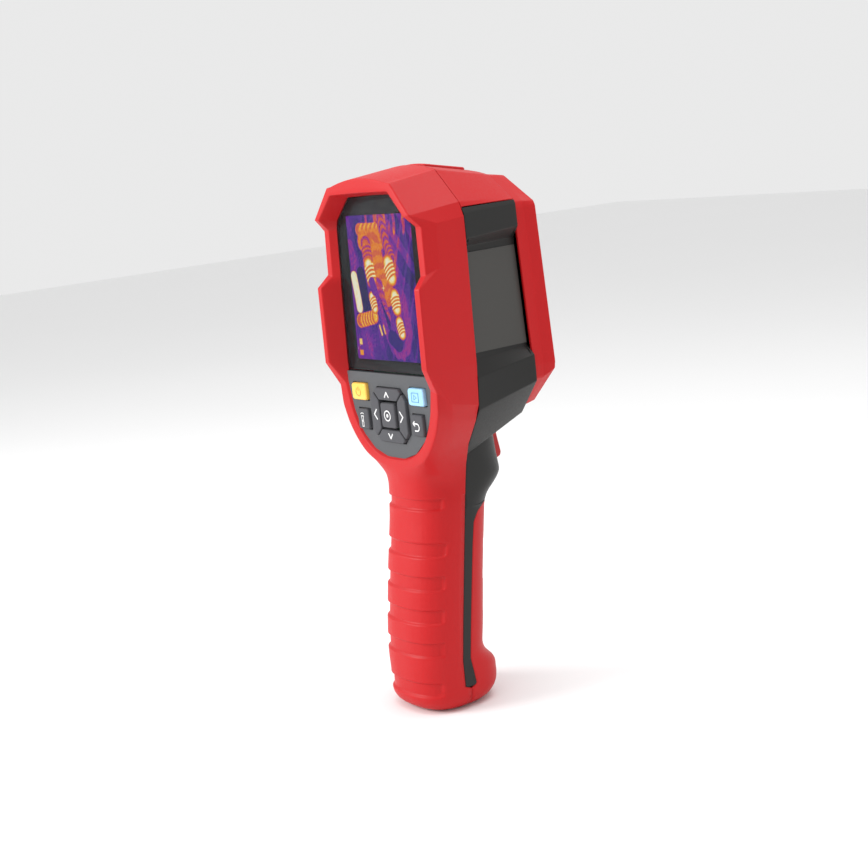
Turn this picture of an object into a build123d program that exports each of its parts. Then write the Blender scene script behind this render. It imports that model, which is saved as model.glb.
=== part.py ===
from build123d import *
import math
import os

# A pistol-grip thermal camera, in millimetres.
# Shapes are drawn from a datum on the head: x = 0 on the mirror plane, y = 0 on the
# seam between the rear cover and the mid housing (+Y is the way the lens looks), and
# z = 0 at the top of the navigation keys. save() moves each shape so that the origin
# is the mouth of the tripod thread in the foot.
DATUM_HEIGHT = 140.0
THREAD_BACK = 8.0

SKIN = 1.7
CORE_WALL = 1.7
HEAD_WALL = 2.4
FRONT_SEAM = 30.5
GRIP_POWER = 2.6
GRIP_POINTS = 16
FOOT_Z = -DATUM_HEIGHT
FOOT_ROUND = 7.0
TOE_SLOPE = 3.0
GROOVE_DEPTH = 0.75
GROOVE_HEIGHT = 6.3

SCREEN_TILT = 1.86
GLASS_THICK = 1.2
KEY_TRAVEL = 0.7
KEY_PROUD = 1.5
KEY_GAP = 0.3
PANEL_FACE = -21.0
PANEL_THICK = 2.4
PANEL_TOP = 6.8
WINDOW_FOOT = 7.3
FLANGE_THICK = 1.2

LENS_X = 0.0
LENS_Z = 46.0
CORE_HALF = 17.0
CORE_REAR = 8.0
CORE_FRONT = 29.0
CAMERA_Z = 70.0
TORCH_Z = 16.0
PLATE_FACE = 42.6
PLATE_THICK = 2.2

CELL_RADIUS = 9.2
CELL_LENGTH = 65.0
LEAN = math.degrees(math.atan(0.158))

TRIGGER_PIVOT_Y = 20.6
TRIGGER_PIVOT_Z = -27.4
TRIGGER_HALF = 5.2
PIN_RADIUS = 1.0
PIN_HALF = 8.2
PIN_FIT = 0.05
SLOT_FOOT = -41.4

FLANGE_Y = PANEL_FACE + PANEL_THICK + 0.2
STEM_Y = FLANGE_Y + 1.7
SWITCH_Y = STEM_Y + KEY_TRAVEL + 0.1
NAV_Z = -10.8
NAV_HALF = 12.6
NAV_TALL = 11.6
SET_HALF = 5.4
SET_TALL = 5.6
SIDE_KEYS = {
    "power_key": (-26.0, -15.2, -5.4, 2.0), "play_key": (15.2, 26.0, -5.4, 2.0),
    "torch_key": (-23.6, -15.4, -18.2, -9.2), "back_key": (15.4, 23.6, -18.2, -9.2),
}

WAIST_Y = 35.6
FLARE_Y = 40.2
NOSE_Y = 44.8
WINDOW_RADIUS = 4.2
TORCH_RADIUS = 5.6
BARREL_RADIUS = 12.4
BARREL_REAR = 29.0
BARREL_FRONT = 45.0
LENS_SEAT = 37.0
LENS_DOME = 24.0
PLATE_SCREW = 2.3
SHUTTER_X = -9.6
SHUTTER_Z = 36.6
SHUTTER_REACH = 13.4

PORT_REAR = 4.0
PORT_FRONT = 27.8
PORT_HALF = 9.2
HINGE_Y = 25.8
HINGE_Z = 87.7
LID_PROUD = 1.2

CELL_Z = -91.0
BOSS_RADIUS = 6.6
BOSS_LENGTH = 10.4
INSERT_RADIUS = 4.8
INSERT_LENGTH = 9.0
THREAD_RADIUS = 3.175
THREAD_LENGTH = 7.5

# Right-hand half outlines of the head, as (x, z) from the top down.
REAR_OUTLINE = [
    (9.5, 87.5), (22.4, 85.4), (33.7, 72.5), (36.5, 66.0), (37.0, 9.0), (33.6, -6.0), (20.0, -32.0),
]
SEAM_OUTLINE = [
    (9.5, 91.1), (20.8, 89.0), (34.5, 75.3), (36.7, 70.5), (35.3, 9.0), (33.4, -10.4), (20.0, -32.0),
]
FRONT_OUTLINE = [
    (9.5, 86.2), (17.7, 84.1), (30.8, 74.2), (33.1, 70.5), (36.1, 6.0), (36.0, -3.2), (24.0, -17.0),
]
WAIST_OUTLINE = [
    (9.0, 85.4), (16.5, 83.4), (31.0, 72.0), (31.7, 69.5), (34.8, 3.0), (34.2, -2.5), (21.0, -15.4),
]
FLARE_OUTLINE = [
    (8.5, 84.6), (15.6, 82.9), (33.0, 71.8), (33.9, 70.0), (37.4, 3.4), (36.8, 0.6), (21.1, -14.5),
]
NOSE_OUTLINE = [
    (6.0, 79.6), (10.6, 78.6), (26.2, 68.2), (27.2, 66.6), (30.6, 4.8), (30.0, 2.8), (15.8, -10.6),
]

PLATE_OUTLINE = [(9.4, 75.6), (23.5, 65.8), (24.6, 64.0), (27.8, 7.0), (27.2, 5.2), (14.6, -7.2)]
SCREW_PLACES = [(side * x, z) for side in (1, -1) for x, z in ((19.6, 61.0), (21.6, 9.0))]

# Rear edge of the hood, seen from the side, as (y, z).
HOOD_PROFILE = [
    (-25.2, 95.0), (-25.5, 85.8), (-25.9, 72.7), (-20.9, 67.6), (-21.4, 48.2),
    (-26.7, 43.5), (-27.3, 10.9), (-21.9, 1.0), (-21.3, -20.0), (-21.0, -45.0),
]

# Opening of the hood at its rear edge and where it meets the window, as (x, z).
HOOD_MOUTH = [
    (20.7, 82.7), (30.7, 72.4), (31.9, 67.8), (32.2, 48.0), (33.6, 43.5), (33.7, 11.3),
    (30.8, 1.8), (28.2, -10.5), (23.2, -20.5), (15.2, -27.0), (6.0, -29.8),
]
WINDOW_MOUTH = [
    (18.5, 81.0), (27.8, 71.8), (29.0, 67.8), (29.3, 48.0), (29.5, 43.5), (29.6, 11.3),
    (29.2, 1.8), (26.8, -10.5), (22.0, -19.8), (14.5, -26.2), (6.0, -29.0),
]

# Grip sections, neck first and then the hand grip: (z, half width, rearmost y, foremost y).
NECK_SECTIONS = [
    (-22.0, 20.4, -21.0, 24.4), (-34.0, 20.3, -21.0, 25.6), (-42.5, 20.4, -20.9, 26.9),
    (-46.0, 20.4, -20.9, 23.5), (-50.0, 20.5, -20.9, 17.8), (-54.0, 20.5, -21.0, 15.6),
    (-57.0, 20.5, -21.2, 15.1),
]
GRIP_SECTIONS = [
    (-57.0, 20.5, -21.2, 15.1), (-80.0, 20.6, -25.6, 11.3), (-103.0, 20.8, -29.2, 8.3),
    (-115.5, 21.1, -29.9, 6.3), (-119.0, 21.2, -30.0, 7.4), (-122.5, 21.4, -30.1, 10.6),
    (-124.0, 21.5, -30.1, 12.2), (-131.0, 21.6, -30.2, 12.4),
]

# Seams along the grip, seen from the side, as (y, z).
REAR_SEAM = [(0.0, -34.0), (-13.3, -118.4), (-13.6, -130.0)]
FRONT_SEAM_LINE = [(-7.6, -130.0), (-9.1, -118.2), (-4.0, -87.8), (-0.8, -68.8), (1.0, -60.0), (4.0, -56.0),
                   (9.0, -53.5)]
FOOT_SEAM_Y = -10.6
REAR_GROOVES = [
    (-48.8, 18.2), (-68.8, 19.4), (-83.0, 19.4), (-97.2, 19.4), (-111.4, 19.0), (-129.2, 17.5),
]
FRONT_GROOVES = [-71.5, -84.8, -98.6, -112.4]

os.makedirs("parts", exist_ok=True)


def save(name, *shapes):
    """Write one node, moved from the head datum to the thread's mouth."""
    solids = [solid for shape in shapes for solid in shape.solids()]
    group = Compound(solids) if len(solids) > 1 else solids[0]
    export_step(group.moved(Location((0, THREAD_BACK, DATUM_HEIGHT))), f"parts/{name}.step")


def block(x0, x1, y0, y1, z0, z1):
    """A box between two corners."""
    centre = Location(((x0 + x1) / 2, (y0 + y1) / 2, (z0 + z1) / 2))
    return centre * Box(x1 - x0, y1 - y0, z1 - z0)


def rod(radius, start, end):
    """A round bar from one point to another."""
    axis = Vector(*end) - Vector(*start)
    plane = Plane(origin=start, z_dir=axis)
    return extrude(plane * Circle(radius), axis.length)


def outline_face(points, y):
    """A symmetric face at one depth, from its right-hand half."""
    ring = points + [(-x, z) for x, z in reversed(points)]
    return Face(Wire.make_polygon([(x, y, z) for x, z in ring], close=True))


def prism(points, half_width=60.0):
    """A side-on outline (y, z) drawn right across the width."""
    face = Face(Wire.make_polygon([(-half_width, y, z) for y, z in points], close=True))
    return extrude(face, 2 * half_width, dir=(1, 0, 0))


def plate(points, y0, y1):
    """A symmetric outline drawn from one depth to another."""
    return extrude(outline_face(points, y0), y1 - y0, dir=(0, 1, 0))


def shrink(points, amount):
    """A smaller half outline, moved in by one wall on every side."""
    middle = (points[0][1] + points[-1][1]) / 2
    return [(x - amount, z - amount * math.copysign(1, z - middle)) for x, z in points]


def tilted(shape):
    """Lean a piece of the display with the window, about its top edge."""
    hinge = Axis((0, -18.1, 73.1), (1, 0, 0))
    return shape.rotate(hinge, -SCREEN_TILT)


def grip_ring(z, half_width, rear, front, inset):
    """One superellipse section of the grip."""
    across = half_width - inset
    deep = (front - rear) / 2 - inset
    middle = (front + rear) / 2
    points = []
    for k in range(GRIP_POINTS):
        turn = 2 * math.pi * k / GRIP_POINTS
        c, s = math.cos(turn), math.sin(turn)
        x = across * math.copysign(abs(c) ** (2 / GRIP_POWER), c)
        y = middle + deep * math.copysign(abs(s) ** (2 / GRIP_POWER), s)
        points.append((x, y, z))
    return Wire([Edge.make_spline(points, periodic=True)])


def grip_form(inset):
    """The grip from the neck down to the foot, with its bottom edge rounded."""
    neck = Solid.make_loft([grip_ring(*section, inset) for section in NECK_SECTIONS], ruled=True)
    column = Solid.make_loft([grip_ring(*section, inset) for section in GRIP_SECTIONS], ruled=True)
    z0, half_width, rear, front = GRIP_SECTIONS[-1]
    drop = z0 - FOOT_Z - inset
    layers = []
    for k in range(6):
        angle = math.pi / 2 * k / 5
        z = z0 - drop * math.sin(angle)
        toe = front - TOE_SLOPE * math.sin(angle)
        layers.append(grip_ring(z, half_width, rear, toe, inset + FOOT_ROUND * (1 - math.cos(angle))))
    return neck + column + Solid.make_loft(layers, ruled=True)


def head_span(first, y0, second, y1, inset=0.0):
    """The head between two outlines."""
    rear = outline_face(shrink(first, inset), y0)
    front = outline_face(shrink(second, inset), y1)
    return loft([rear, front], ruled=True)


# ---- shared forms -------------------------------------------------------------------
grip = grip_form(0.0)
grip_skin_inner = grip_form(SKIN)
grip_hollow = grip_form(SKIN + CORE_WALL)
grip_groove_floor = grip_form(GROOVE_DEPTH)

behind_seam = prism([(-70, -34)] + REAR_SEAM + [(FOOT_SEAM_Y, -130.0), (FOOT_SEAM_Y, -160), (-70, -160)])
neck_behind = block(-60, 60, -70, 0, -34, -20)
ahead_of_strip = prism(
    [(FOOT_SEAM_Y, -160), (FOOT_SEAM_Y, -130.0)] + FRONT_SEAM_LINE + [(60, -52.0), (60, -160)]
)

rear_head = head_span(REAR_OUTLINE, -28.0, SEAM_OUTLINE, 0.0)
mid_head = head_span(SEAM_OUTLINE, 0.0, FRONT_OUTLINE, FRONT_SEAM)
hood_side = prism(HOOD_PROFILE + [(10, -45.0), (10, 95.0)])


# ---- rear cover: hood round the display and the rear half of the grip ----------------
def notch_facets():
    """The bevelled pockets in the hood's flanks, and the bevel round its foot."""
    cuts = []
    for side in (1, -1):
        deep = Face(Wire.make_polygon(
            [(side * x, -22.0, z) for x, z in [(34.9, 47.4), (45, 47.4), (45, 68.6), (34.9, 68.6)]]))
        shallow = Face(Wire.make_polygon(
            [(side * x, -15.2, z) for x, z in [(36.9, 51.0), (45, 51.0), (45, 64.0), (36.9, 64.0)]]))
        cuts.append(loft([deep, shallow], ruled=True))
    return cuts


def rear_cover():
    hood = rear_head & hood_side
    for cut in notch_facets():
        hood -= cut
    skin = ((grip & (behind_seam + neck_behind)) - grip_skin_inner)
    cavity = plate(shrink(REAR_OUTLINE, HEAD_WALL + 0.6)[:6] + [(19.0, -33.0)], -17.2, 0.0)
    mouth = loft([outline_face(HOOD_MOUTH, -28.0), outline_face(WINDOW_MOUTH, -18.0)], ruled=True)
    shell = hood + skin - cavity - mouth - plate(WINDOW_MOUTH, -18.4, -17.0)
    shell -= tilted(plate(shrink(WINDOW_MOUTH, -1.2), -18.4, -16.6)) & block(-60, 60, -40, 0, 5.8, 90)
    shell -= plate(shrink(WINDOW_MOUTH, -1.2), PANEL_FACE + 1.2, -16.0) & block(-60, 60, -40, 0, -60, 6.9)
    shell -= grip_skin_inner & block(-60, 60, -70, 0, -60, -20)
    for z, reach in REAR_GROOVES:
        band = block(-reach, reach, -70, -12.0, z - GROOVE_HEIGHT / 2, z + GROOVE_HEIGHT / 2)
        shell -= band - grip_groove_floor
    return shell


# ---- mid housing, its top band and the label plates ---------------------------------
def side_bays(floor_lift=0.0):
    """The shallow bays sunk in both flanks, with sloping ends."""
    bays = []
    for side in (1, -1):
        rear = Face(Wire.make_polygon([
            (side * (33.4 + floor_lift), 0.0, 57.0), (side * 45, 0.0, 60.4),
            (side * 45, 0.0, 3.6), (side * (32.1 + floor_lift), 0.0, 10.4)]))
        front = Face(Wire.make_polygon([
            (side * (29.6 + floor_lift), FRONT_SEAM, 56.0), (side * 45, FRONT_SEAM, 62.6),
            (side * 45, FRONT_SEAM, 3.0), (side * (31.8 + floor_lift), FRONT_SEAM, 12.0)]))
        bays.append(loft([rear, front], ruled=True))
    return bays


def roof(y):
    """Height of the head's top face at one depth."""
    drop = SEAM_OUTLINE[0][1] - FRONT_OUTLINE[0][1]
    return SEAM_OUTLINE[0][1] - drop * y / FRONT_SEAM


def roof_prism(y0, y1, below, above, half_width):
    """A slab that follows the slope of the top face."""
    return prism([(y0, roof(y0) + above), (y1, roof(y1) + above), (y1, roof(y1) - below),
                  (y0, roof(y0) - below)], half_width)


def pivot_rod(radius, reach):
    """A round bar along the trigger's pivot."""
    return rod(radius, (-reach, TRIGGER_PIVOT_Y, TRIGGER_PIVOT_Z), (reach, TRIGGER_PIVOT_Y, TRIGGER_PIVOT_Z))


def mid_parts():
    """The black mid housing and the red band across its top."""
    shell = mid_head
    for bay in side_bays():
        shell -= bay
    shell -= head_span([(x - 3.0, z) for x, z in SEAM_OUTLINE], 0.0,
                       [(x - 4.2, z) for x, z in FRONT_OUTLINE], FRONT_SEAM, 1.4)
    over = block(-60, 60, -1, FRONT_SEAM + 1, 73.4, 100)
    band = (shell & over) + (roof_prism(3.0, 28.6, 5.0, 0.0, 11.5) & mid_head)
    band -= roof_prism(PORT_REAR, PORT_FRONT, 2.4, 5.0, PORT_HALF)
    band -= block(-4.8, 4.8, 15.6, 19.4, 60, 95)
    band -= block(-7.3, 7.3, 11.2, 14.2, 60, 95)
    strip = grip - behind_seam - neck_behind - ahead_of_strip
    liner = grip_skin_inner & block(-60, 60, -70, 60, -160, -36)
    body = (shell - over) + strip + liner - grip_hollow
    body += rod(BOSS_RADIUS, (0, -THREAD_BACK, FOOT_Z), (0, -THREAD_BACK, FOOT_Z + BOSS_LENGTH))
    body -= rod(INSERT_RADIUS, (0, -THREAD_BACK, FOOT_Z - 1), (0, -THREAD_BACK, FOOT_Z + INSERT_LENGTH))
    for side in (1, -1):
        body += block(min(side * 5.7, side * 8.2), max(side * 5.7, side * 8.2), 15.5, 23.5, -31.5, -22.5)
    body -= block(-5.7, 5.7, 18.2, 40.0, SLOT_FOOT, -24.4)
    return body - pivot_rod(PIN_RADIUS, PIN_HALF), band


def label_plates():
    """Thin satin plates lying in the bays of the flanks."""
    plates = []
    for lifted, bay in zip(side_bays(0.5), side_bays()):
        window = block(-60, 60, 0.6, FRONT_SEAM - 0.6, 13.2, 54.6)
        plates.append((bay - lifted) & mid_head & window)
    return plates


mid_housing, top_band = mid_parts()
label_right, label_left = label_plates()
save("mid_housing", mid_housing)
save("top_band", top_band)
save("label_plate_right", label_right)
save("label_plate_left", label_left)


# ---- rear cover and front grip, written once the boss is known -----------------------
boss = rod(BOSS_RADIUS, (0, -THREAD_BACK, FOOT_Z - 1), (0, -THREAD_BACK, FOOT_Z + BOSS_LENGTH))
save("rear_cover", rear_cover() - boss)


def front_grip():
    skin = (grip - grip_skin_inner) & ahead_of_strip
    for z in FRONT_GROOVES:
        band = block(-16, 16, 0.0, 40.0, z - 2.6, z + 2.6)
        skin -= band - grip_groove_floor
    return skin - boss


save("front_grip", front_grip())


# ---- front bumper and front plate ----------------------------------------------------
def bumper():
    stations = [(WAIST_OUTLINE, FRONT_SEAM), (WAIST_OUTLINE, WAIST_Y), (FLARE_OUTLINE, FLARE_Y),
                (NOSE_OUTLINE, NOSE_Y)]
    form = loft([outline_face(points, y) for points, y in stations[:2]], ruled=True)
    for (first, y0), (second, y1) in zip(stations[1:], stations[2:]):
        form += loft([outline_face(first, y0), outline_face(second, y1)], ruled=True)
    form -= plate(shrink(WAIST_OUTLINE, HEAD_WALL), FRONT_SEAM - 1, PLATE_FACE - PLATE_THICK)
    return form - plate(PLATE_OUTLINE, PLATE_FACE - PLATE_THICK - 1, NOSE_Y + 1)


def along_y(radius, y0, y1, x, z):
    """A round bar that points forward."""
    return rod(radius, (x, y0, z), (x, y1, z))


def front_plate():
    face = plate(PLATE_OUTLINE, PLATE_FACE - PLATE_THICK, PLATE_FACE)
    face -= along_y(BARREL_RADIUS + 0.2, 38, 50, LENS_X, LENS_Z)
    face -= along_y(WINDOW_RADIUS, 38, 50, LENS_X, CAMERA_Z)
    face -= along_y(TORCH_RADIUS, 38, 50, LENS_X, TORCH_Z)
    for x, z in SCREW_PLACES:
        face -= along_y(1.3, 38, 50, x, z)
        face -= along_y(PLATE_SCREW, PLATE_FACE - 1.0, 50, x, z)
    return face


save("front_bumper", bumper())
save("front_plate", front_plate())


def front_screws():
    """Recessed screws in the corners of the front plate."""
    screws = []
    for x, z in SCREW_PLACES:
        screw = along_y(PLATE_SCREW - 0.1, PLATE_FACE - 1.0, PLATE_FACE - 0.1, x, z)
        screw += along_y(1.2, PLATE_FACE - 6.0, PLATE_FACE - 1.0, x, z)
        screw -= along_y(0.8, PLATE_FACE - 0.8, PLATE_FACE, x, z)
        screws.append(screw)
    return screws


save("front_screws", *front_screws())


# ---- thermal module behind the lens --------------------------------------------------
def ring(outer, inner, y0, y1, x, z):
    """A round tube that points forward."""
    return along_y(outer, y0, y1, x, z) - along_y(inner, y0 - 1, y1 + 1, x, z)


def core_housing():
    body = block(-CORE_HALF, CORE_HALF, CORE_REAR, CORE_FRONT, LENS_Z - CORE_HALF, LENS_Z + CORE_HALF)
    room = CORE_HALF - 2.0
    body -= block(-room, room, CORE_REAR + 1.6, CORE_FRONT - 1.6, LENS_Z - room, LENS_Z + room)
    return body - along_y(9.0, 20, 40, LENS_X, LENS_Z)


def lens_barrel():
    barrel = ring(BARREL_RADIUS, 9.9, BARREL_REAR, BARREL_FRONT, LENS_X, LENS_Z)
    barrel += ring(BARREL_RADIUS, 8.6, BARREL_REAR, LENS_SEAT, LENS_X, LENS_Z)
    return barrel


def germanium_lens():
    """A meniscus with a gently domed front."""
    dome = Location((LENS_X, LENS_SEAT + 4.4 - LENS_DOME, LENS_Z)) * Sphere(LENS_DOME)
    return along_y(9.8, LENS_SEAT, LENS_SEAT + 5.0, LENS_X, LENS_Z) & dome


def shutter_flag():
    hub = along_y(1.9, 21.2, 22.0, SHUTTER_X, SHUTTER_Z)
    arm = block(SHUTTER_X, SHUTTER_X + SHUTTER_REACH, 21.2, 21.7, SHUTTER_Z - 1.4, SHUTTER_Z + 1.4)
    blade = along_y(4.4, 21.2, 21.7, SHUTTER_X + SHUTTER_REACH, SHUTTER_Z)
    return hub + arm + blade - along_y(0.55, 20, 23, SHUTTER_X, SHUTTER_Z)


save("thermal_core", core_housing())
save("lens_barrel", lens_barrel())
save("lens_ring", ring(14.4, BARREL_RADIUS + 0.2, PLATE_FACE, PLATE_FACE + 1.2, LENS_X, LENS_Z))
save("germanium_lens", germanium_lens())
save("detector", block(-6, 6, 9.6, 10.8, LENS_Z - 6, LENS_Z + 6) + along_y(4.2, 10.8, 13.6, LENS_X, LENS_Z))
save("shutter_flag", shutter_flag())
shutter_motor = along_y(3.6, 13.0, 20.6, SHUTTER_X, SHUTTER_Z)
shutter_motor += along_y(0.5, 20.6, 22.4, SHUTTER_X, SHUTTER_Z)
save("shutter_motor", shutter_motor + block(SHUTTER_X - 2.6, SHUTTER_X + 2.6, 9.6, 13.0,
                                            SHUTTER_Z - 2.6, SHUTTER_Z + 2.6))


# ---- visible camera and torch --------------------------------------------------------
CAMERA_REAR = PLATE_FACE - 12.4
CAMERA_HALF = 5.0
BOWL_REAR = PLATE_FACE - 6.9
camera_body = block(-CAMERA_HALF, CAMERA_HALF, CAMERA_REAR, CAMERA_REAR + 5.5,
                    CAMERA_Z - CAMERA_HALF, CAMERA_Z + CAMERA_HALF)
camera_nose = along_y(3.4, CAMERA_REAR + 5.5, PLATE_FACE - 2.2, LENS_X, CAMERA_Z)
save("camera_module", camera_body + camera_nose)
save("camera_window", along_y(WINDOW_RADIUS, PLATE_FACE - 1.6, PLATE_FACE - 0.5, LENS_X, CAMERA_Z))
reflector = along_y(TORCH_RADIUS - 0.1, BOWL_REAR, PLATE_FACE - 1.6, LENS_X, TORCH_Z)
bowl = Location((LENS_X, PLATE_FACE - 1.4, TORCH_Z)) * Sphere(4.4)
save("torch_reflector", reflector - bowl - along_y(1.6, BOWL_REAR - 1, BOWL_REAR + 4, LENS_X, TORCH_Z))
save("torch_window", along_y(TORCH_RADIUS - 0.1, PLATE_FACE - 1.6, PLATE_FACE - 0.4, LENS_X, TORCH_Z))
led_base = block(-4, 4, BOWL_REAR - 2.3, BOWL_REAR - 0.9, TORCH_Z - 4, TORCH_Z + 4)
save("torch_led", led_base + along_y(1.5, BOWL_REAR - 0.9, BOWL_REAR + 2.1, LENS_X, TORCH_Z))


# ---- display, keypad and keys --------------------------------------------------------
glass = plate(shrink(WINDOW_MOUTH, -1.0), -18.1, -18.1 + GLASS_THICK)
save("display_window", tilted(glass) & block(-60, 60, -40, 0, WINDOW_FOOT, 90))
save("lcd_module", tilted(block(-25, 25, -16.7, -13.9, 8.8, 75.2)))


def octagon(half_x, half_z, corner, y0, y1):
    """A block with cut corners round the middle of the navigation keys."""
    points = [(half_x - corner, NAV_Z + half_z), (half_x, NAV_Z + half_z - corner),
              (half_x, NAV_Z - half_z + corner), (half_x - corner, NAV_Z - half_z)]
    return plate(points, y0, y1)


def side_key(x0, x1, z0, z1):
    cap = block(x0, x1, PANEL_FACE - KEY_PROUD, FLANGE_Y, z0, z1)
    cap = fillet(cap.edges().filter_by(Axis.Y), 1.2)
    flange = block(x0 - 0.7, x1 + 0.7, FLANGE_Y, FLANGE_Y + 0.6, z0 - 0.7, z1 + 0.7)
    middle = ((x0 + x1) / 2, (z0 + z1) / 2)
    return cap + flange + along_y(1.2, FLANGE_Y + 0.6, STEM_Y, *middle)


def nav_quarter(turn):
    """One of the four direction keys, between the diagonal grooves."""
    rim = octagon(NAV_HALF, NAV_TALL, 4.6, PANEL_FACE - KEY_PROUD, FLANGE_Y)
    rim -= block(-SET_HALF - 0.9, SET_HALF + 0.9, -30, 0, NAV_Z - SET_TALL - 0.9, NAV_Z + SET_TALL + 0.9)
    far = 30.0
    if turn in ("up", "down"):
        sign = 1 if turn == "up" else -1
        wedge = [(0.0, NAV_Z + sign * 0.35), (far, NAV_Z + sign * (far * 0.96 + 0.35)),
                 (-far, NAV_Z + sign * (far * 0.96 + 0.35))]
    else:
        sign = 1 if turn == "right" else -1
        wedge = [(sign * 0.35, NAV_Z), (sign * (far + 0.35), NAV_Z + far * 0.96),
                 (sign * (far + 0.35), NAV_Z - far * 0.96)]
    face = Face(Wire.make_polygon([(x, -30, z) for x, z in wedge], close=True))
    quarter = rim & extrude(face, 30, dir=(0, 1, 0))
    reach_x, reach_z = {"up": (0, 9.4), "down": (0, -9.4), "right": (9.4, 0), "left": (-9.4, 0)}[turn]
    return quarter + along_y(1.2, FLANGE_Y, STEM_Y, reach_x, NAV_Z + reach_z)


def set_key():
    top = PANEL_FACE - KEY_PROUD - 0.4
    cap = block(-SET_HALF, SET_HALF, top, FLANGE_Y, NAV_Z - SET_TALL, NAV_Z + SET_TALL)
    cap = fillet(cap.edges().filter_by(Axis.Y), 1.0)
    return cap + along_y(1.2, FLANGE_Y, STEM_Y, 0, NAV_Z)


def keypad_panel():
    mouth = loft([outline_face(HOOD_MOUTH, -28.0), outline_face(WINDOW_MOUTH, -18.0)], ruled=True)
    island = mouth & block(-60, 60, PANEL_FACE, PANEL_FACE + 1.2, -60, PANEL_TOP)
    flange = plate(shrink(WINDOW_MOUTH, -1.0), PANEL_FACE + 1.2, PANEL_FACE + PANEL_THICK)
    panel = island + (flange & block(-60, 60, -40, 0, -60, PANEL_TOP))
    for x0, x1, z0, z1 in SIDE_KEYS.values():
        panel -= block(x0 - KEY_GAP, x1 + KEY_GAP, -30, 0, z0 - KEY_GAP, z1 + KEY_GAP)
    return panel - octagon(NAV_HALF + 0.4, NAV_TALL + 0.4, 4.6, -30, 0)


save("keypad_panel", keypad_panel())
for key, corners in SIDE_KEYS.items():
    save(key, side_key(*corners))
for direction in ("up", "down", "left", "right"):
    save(f"{direction}_key", nav_quarter(direction))
save("set_key", set_key())


# ---- circuit boards ------------------------------------------------------------------
def key_centres():
    places = [((x0 + x1) / 2, (z0 + z1) / 2) for x0, x1, z0, z1 in SIDE_KEYS.values()]
    return places + [(0, NAV_Z), (0, NAV_Z + 9.4), (0, NAV_Z - 9.4), (9.4, NAV_Z), (-9.4, NAV_Z)]


BOARD_SCREWS = [(side * 23.0, z) for side in (1, -1) for z in (2.0, 66.0)]
save("tact_switches", *[block(x - 2.2, x + 2.2, SWITCH_Y, SWITCH_Y + 1.4, z - 2.2, z + 2.2)
                        for x, z in key_centres()])
save("key_board", plate([(25.0, 3.4), (25.0, -8.0), (18.0, -20.0), (11.0, -24.0)],
                        SWITCH_Y + 1.4, SWITCH_Y + 2.6))
main_board = plate([(22.0, 74.0), (26.0, 69.0), (26.0, -4.0), (16.0, -16.0)], -9.6, -8.0)
for x, z in BOARD_SCREWS:
    main_board -= along_y(1.2, -12, -6, x, z)
save("main_board", main_board)
save("board_screws", *[along_y(2.0, -11.0, -9.6, x, z) + along_y(1.1, -9.6, -3.0, x, z)
                       for x, z in BOARD_SCREWS])
save("processor_shield", block(-13, 13, -12.0, -9.6, 28, 54))
save("buzzer", along_y(4.5, -8.0, -4.6, -14.0, 8.0))
save("heat_spreader", block(-20, 20, -1.0, 0.2, 26.0, 66.0) + block(-15, 15, 0.2, 8.0, 44.0, 48.0))


# ---- top port bay --------------------------------------------------------------------
def port_cover():
    lid = roof_prism(PORT_REAR + 0.3, PORT_FRONT - 2.4, 0.2, LID_PROUD, PORT_HALF - 0.3)
    tongue = roof_prism(PORT_REAR + 1.4, PORT_FRONT - 3.0, 1.6, 0.2, PORT_HALF - 1.6)
    bead = rod(0.8, (-PORT_HALF + 0.3, HINGE_Y, HINGE_Z), (PORT_HALF - 0.3, HINGE_Y, HINGE_Z))
    return lid + tongue + bead


save("port_cover", port_cover())
save("port_board", block(-11, 11, 14.0, 15.6, 65.7, 81.6))
usb = block(-4.5, 4.5, 15.6, 18.9, 78.1, 85.5)
usb -= block(-4.1, 4.1, 16.0, 18.5, 79.1, 92)
save("usb_connector", usb + block(-3.3, 3.3, 16.95, 17.55, 79.1, 84.7))
save("card_socket", block(-7.0, 7.0, 11.4, 14.0, 69.1, 85.1) - block(-5.6, 5.6, 12.1, 13.1, 70.1, 92))
save("memory_card", block(-5.5, 5.5, 12.2, 13.0, 70.3, 85.3))


# ---- trigger -------------------------------------------------------------------------
TRIGGER_PROFILE = [
    (18.7, -25.3), (26.5, -25.0), (30.2, -26.0), (31.0, -31.0), (32.2, -37.2), (31.6, -38.9),
    (29.4, -39.7), (27.2, -38.6), (24.6, -35.4), (23.0, -31.0), (21.2, -29.6), (18.7, -29.6),
]
trigger = prism(TRIGGER_PROFILE, TRIGGER_HALF)
save("trigger", trigger - pivot_rod(PIN_RADIUS + PIN_FIT, 9.0))
save("trigger_pin", pivot_rod(PIN_RADIUS, PIN_HALF))
switch_body = block(-4.0, 4.0, 10.0, 18.6, -38.0, -32.0)
save("trigger_switch", switch_body + block(-1.2, 1.2, 18.6, 20.4, -36.4, -34.0))
save("trigger_bracket", block(-6.0, 6.0, 5.0, 10.0, -42.0, -30.0))


# ---- battery in the grip -------------------------------------------------------------
def leaning(shape):
    """Tip a piece back so that it follows the grip."""
    return shape.rotate(Axis((0, -9.4, CELL_Z), (1, 0, 0)), -LEAN)


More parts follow.
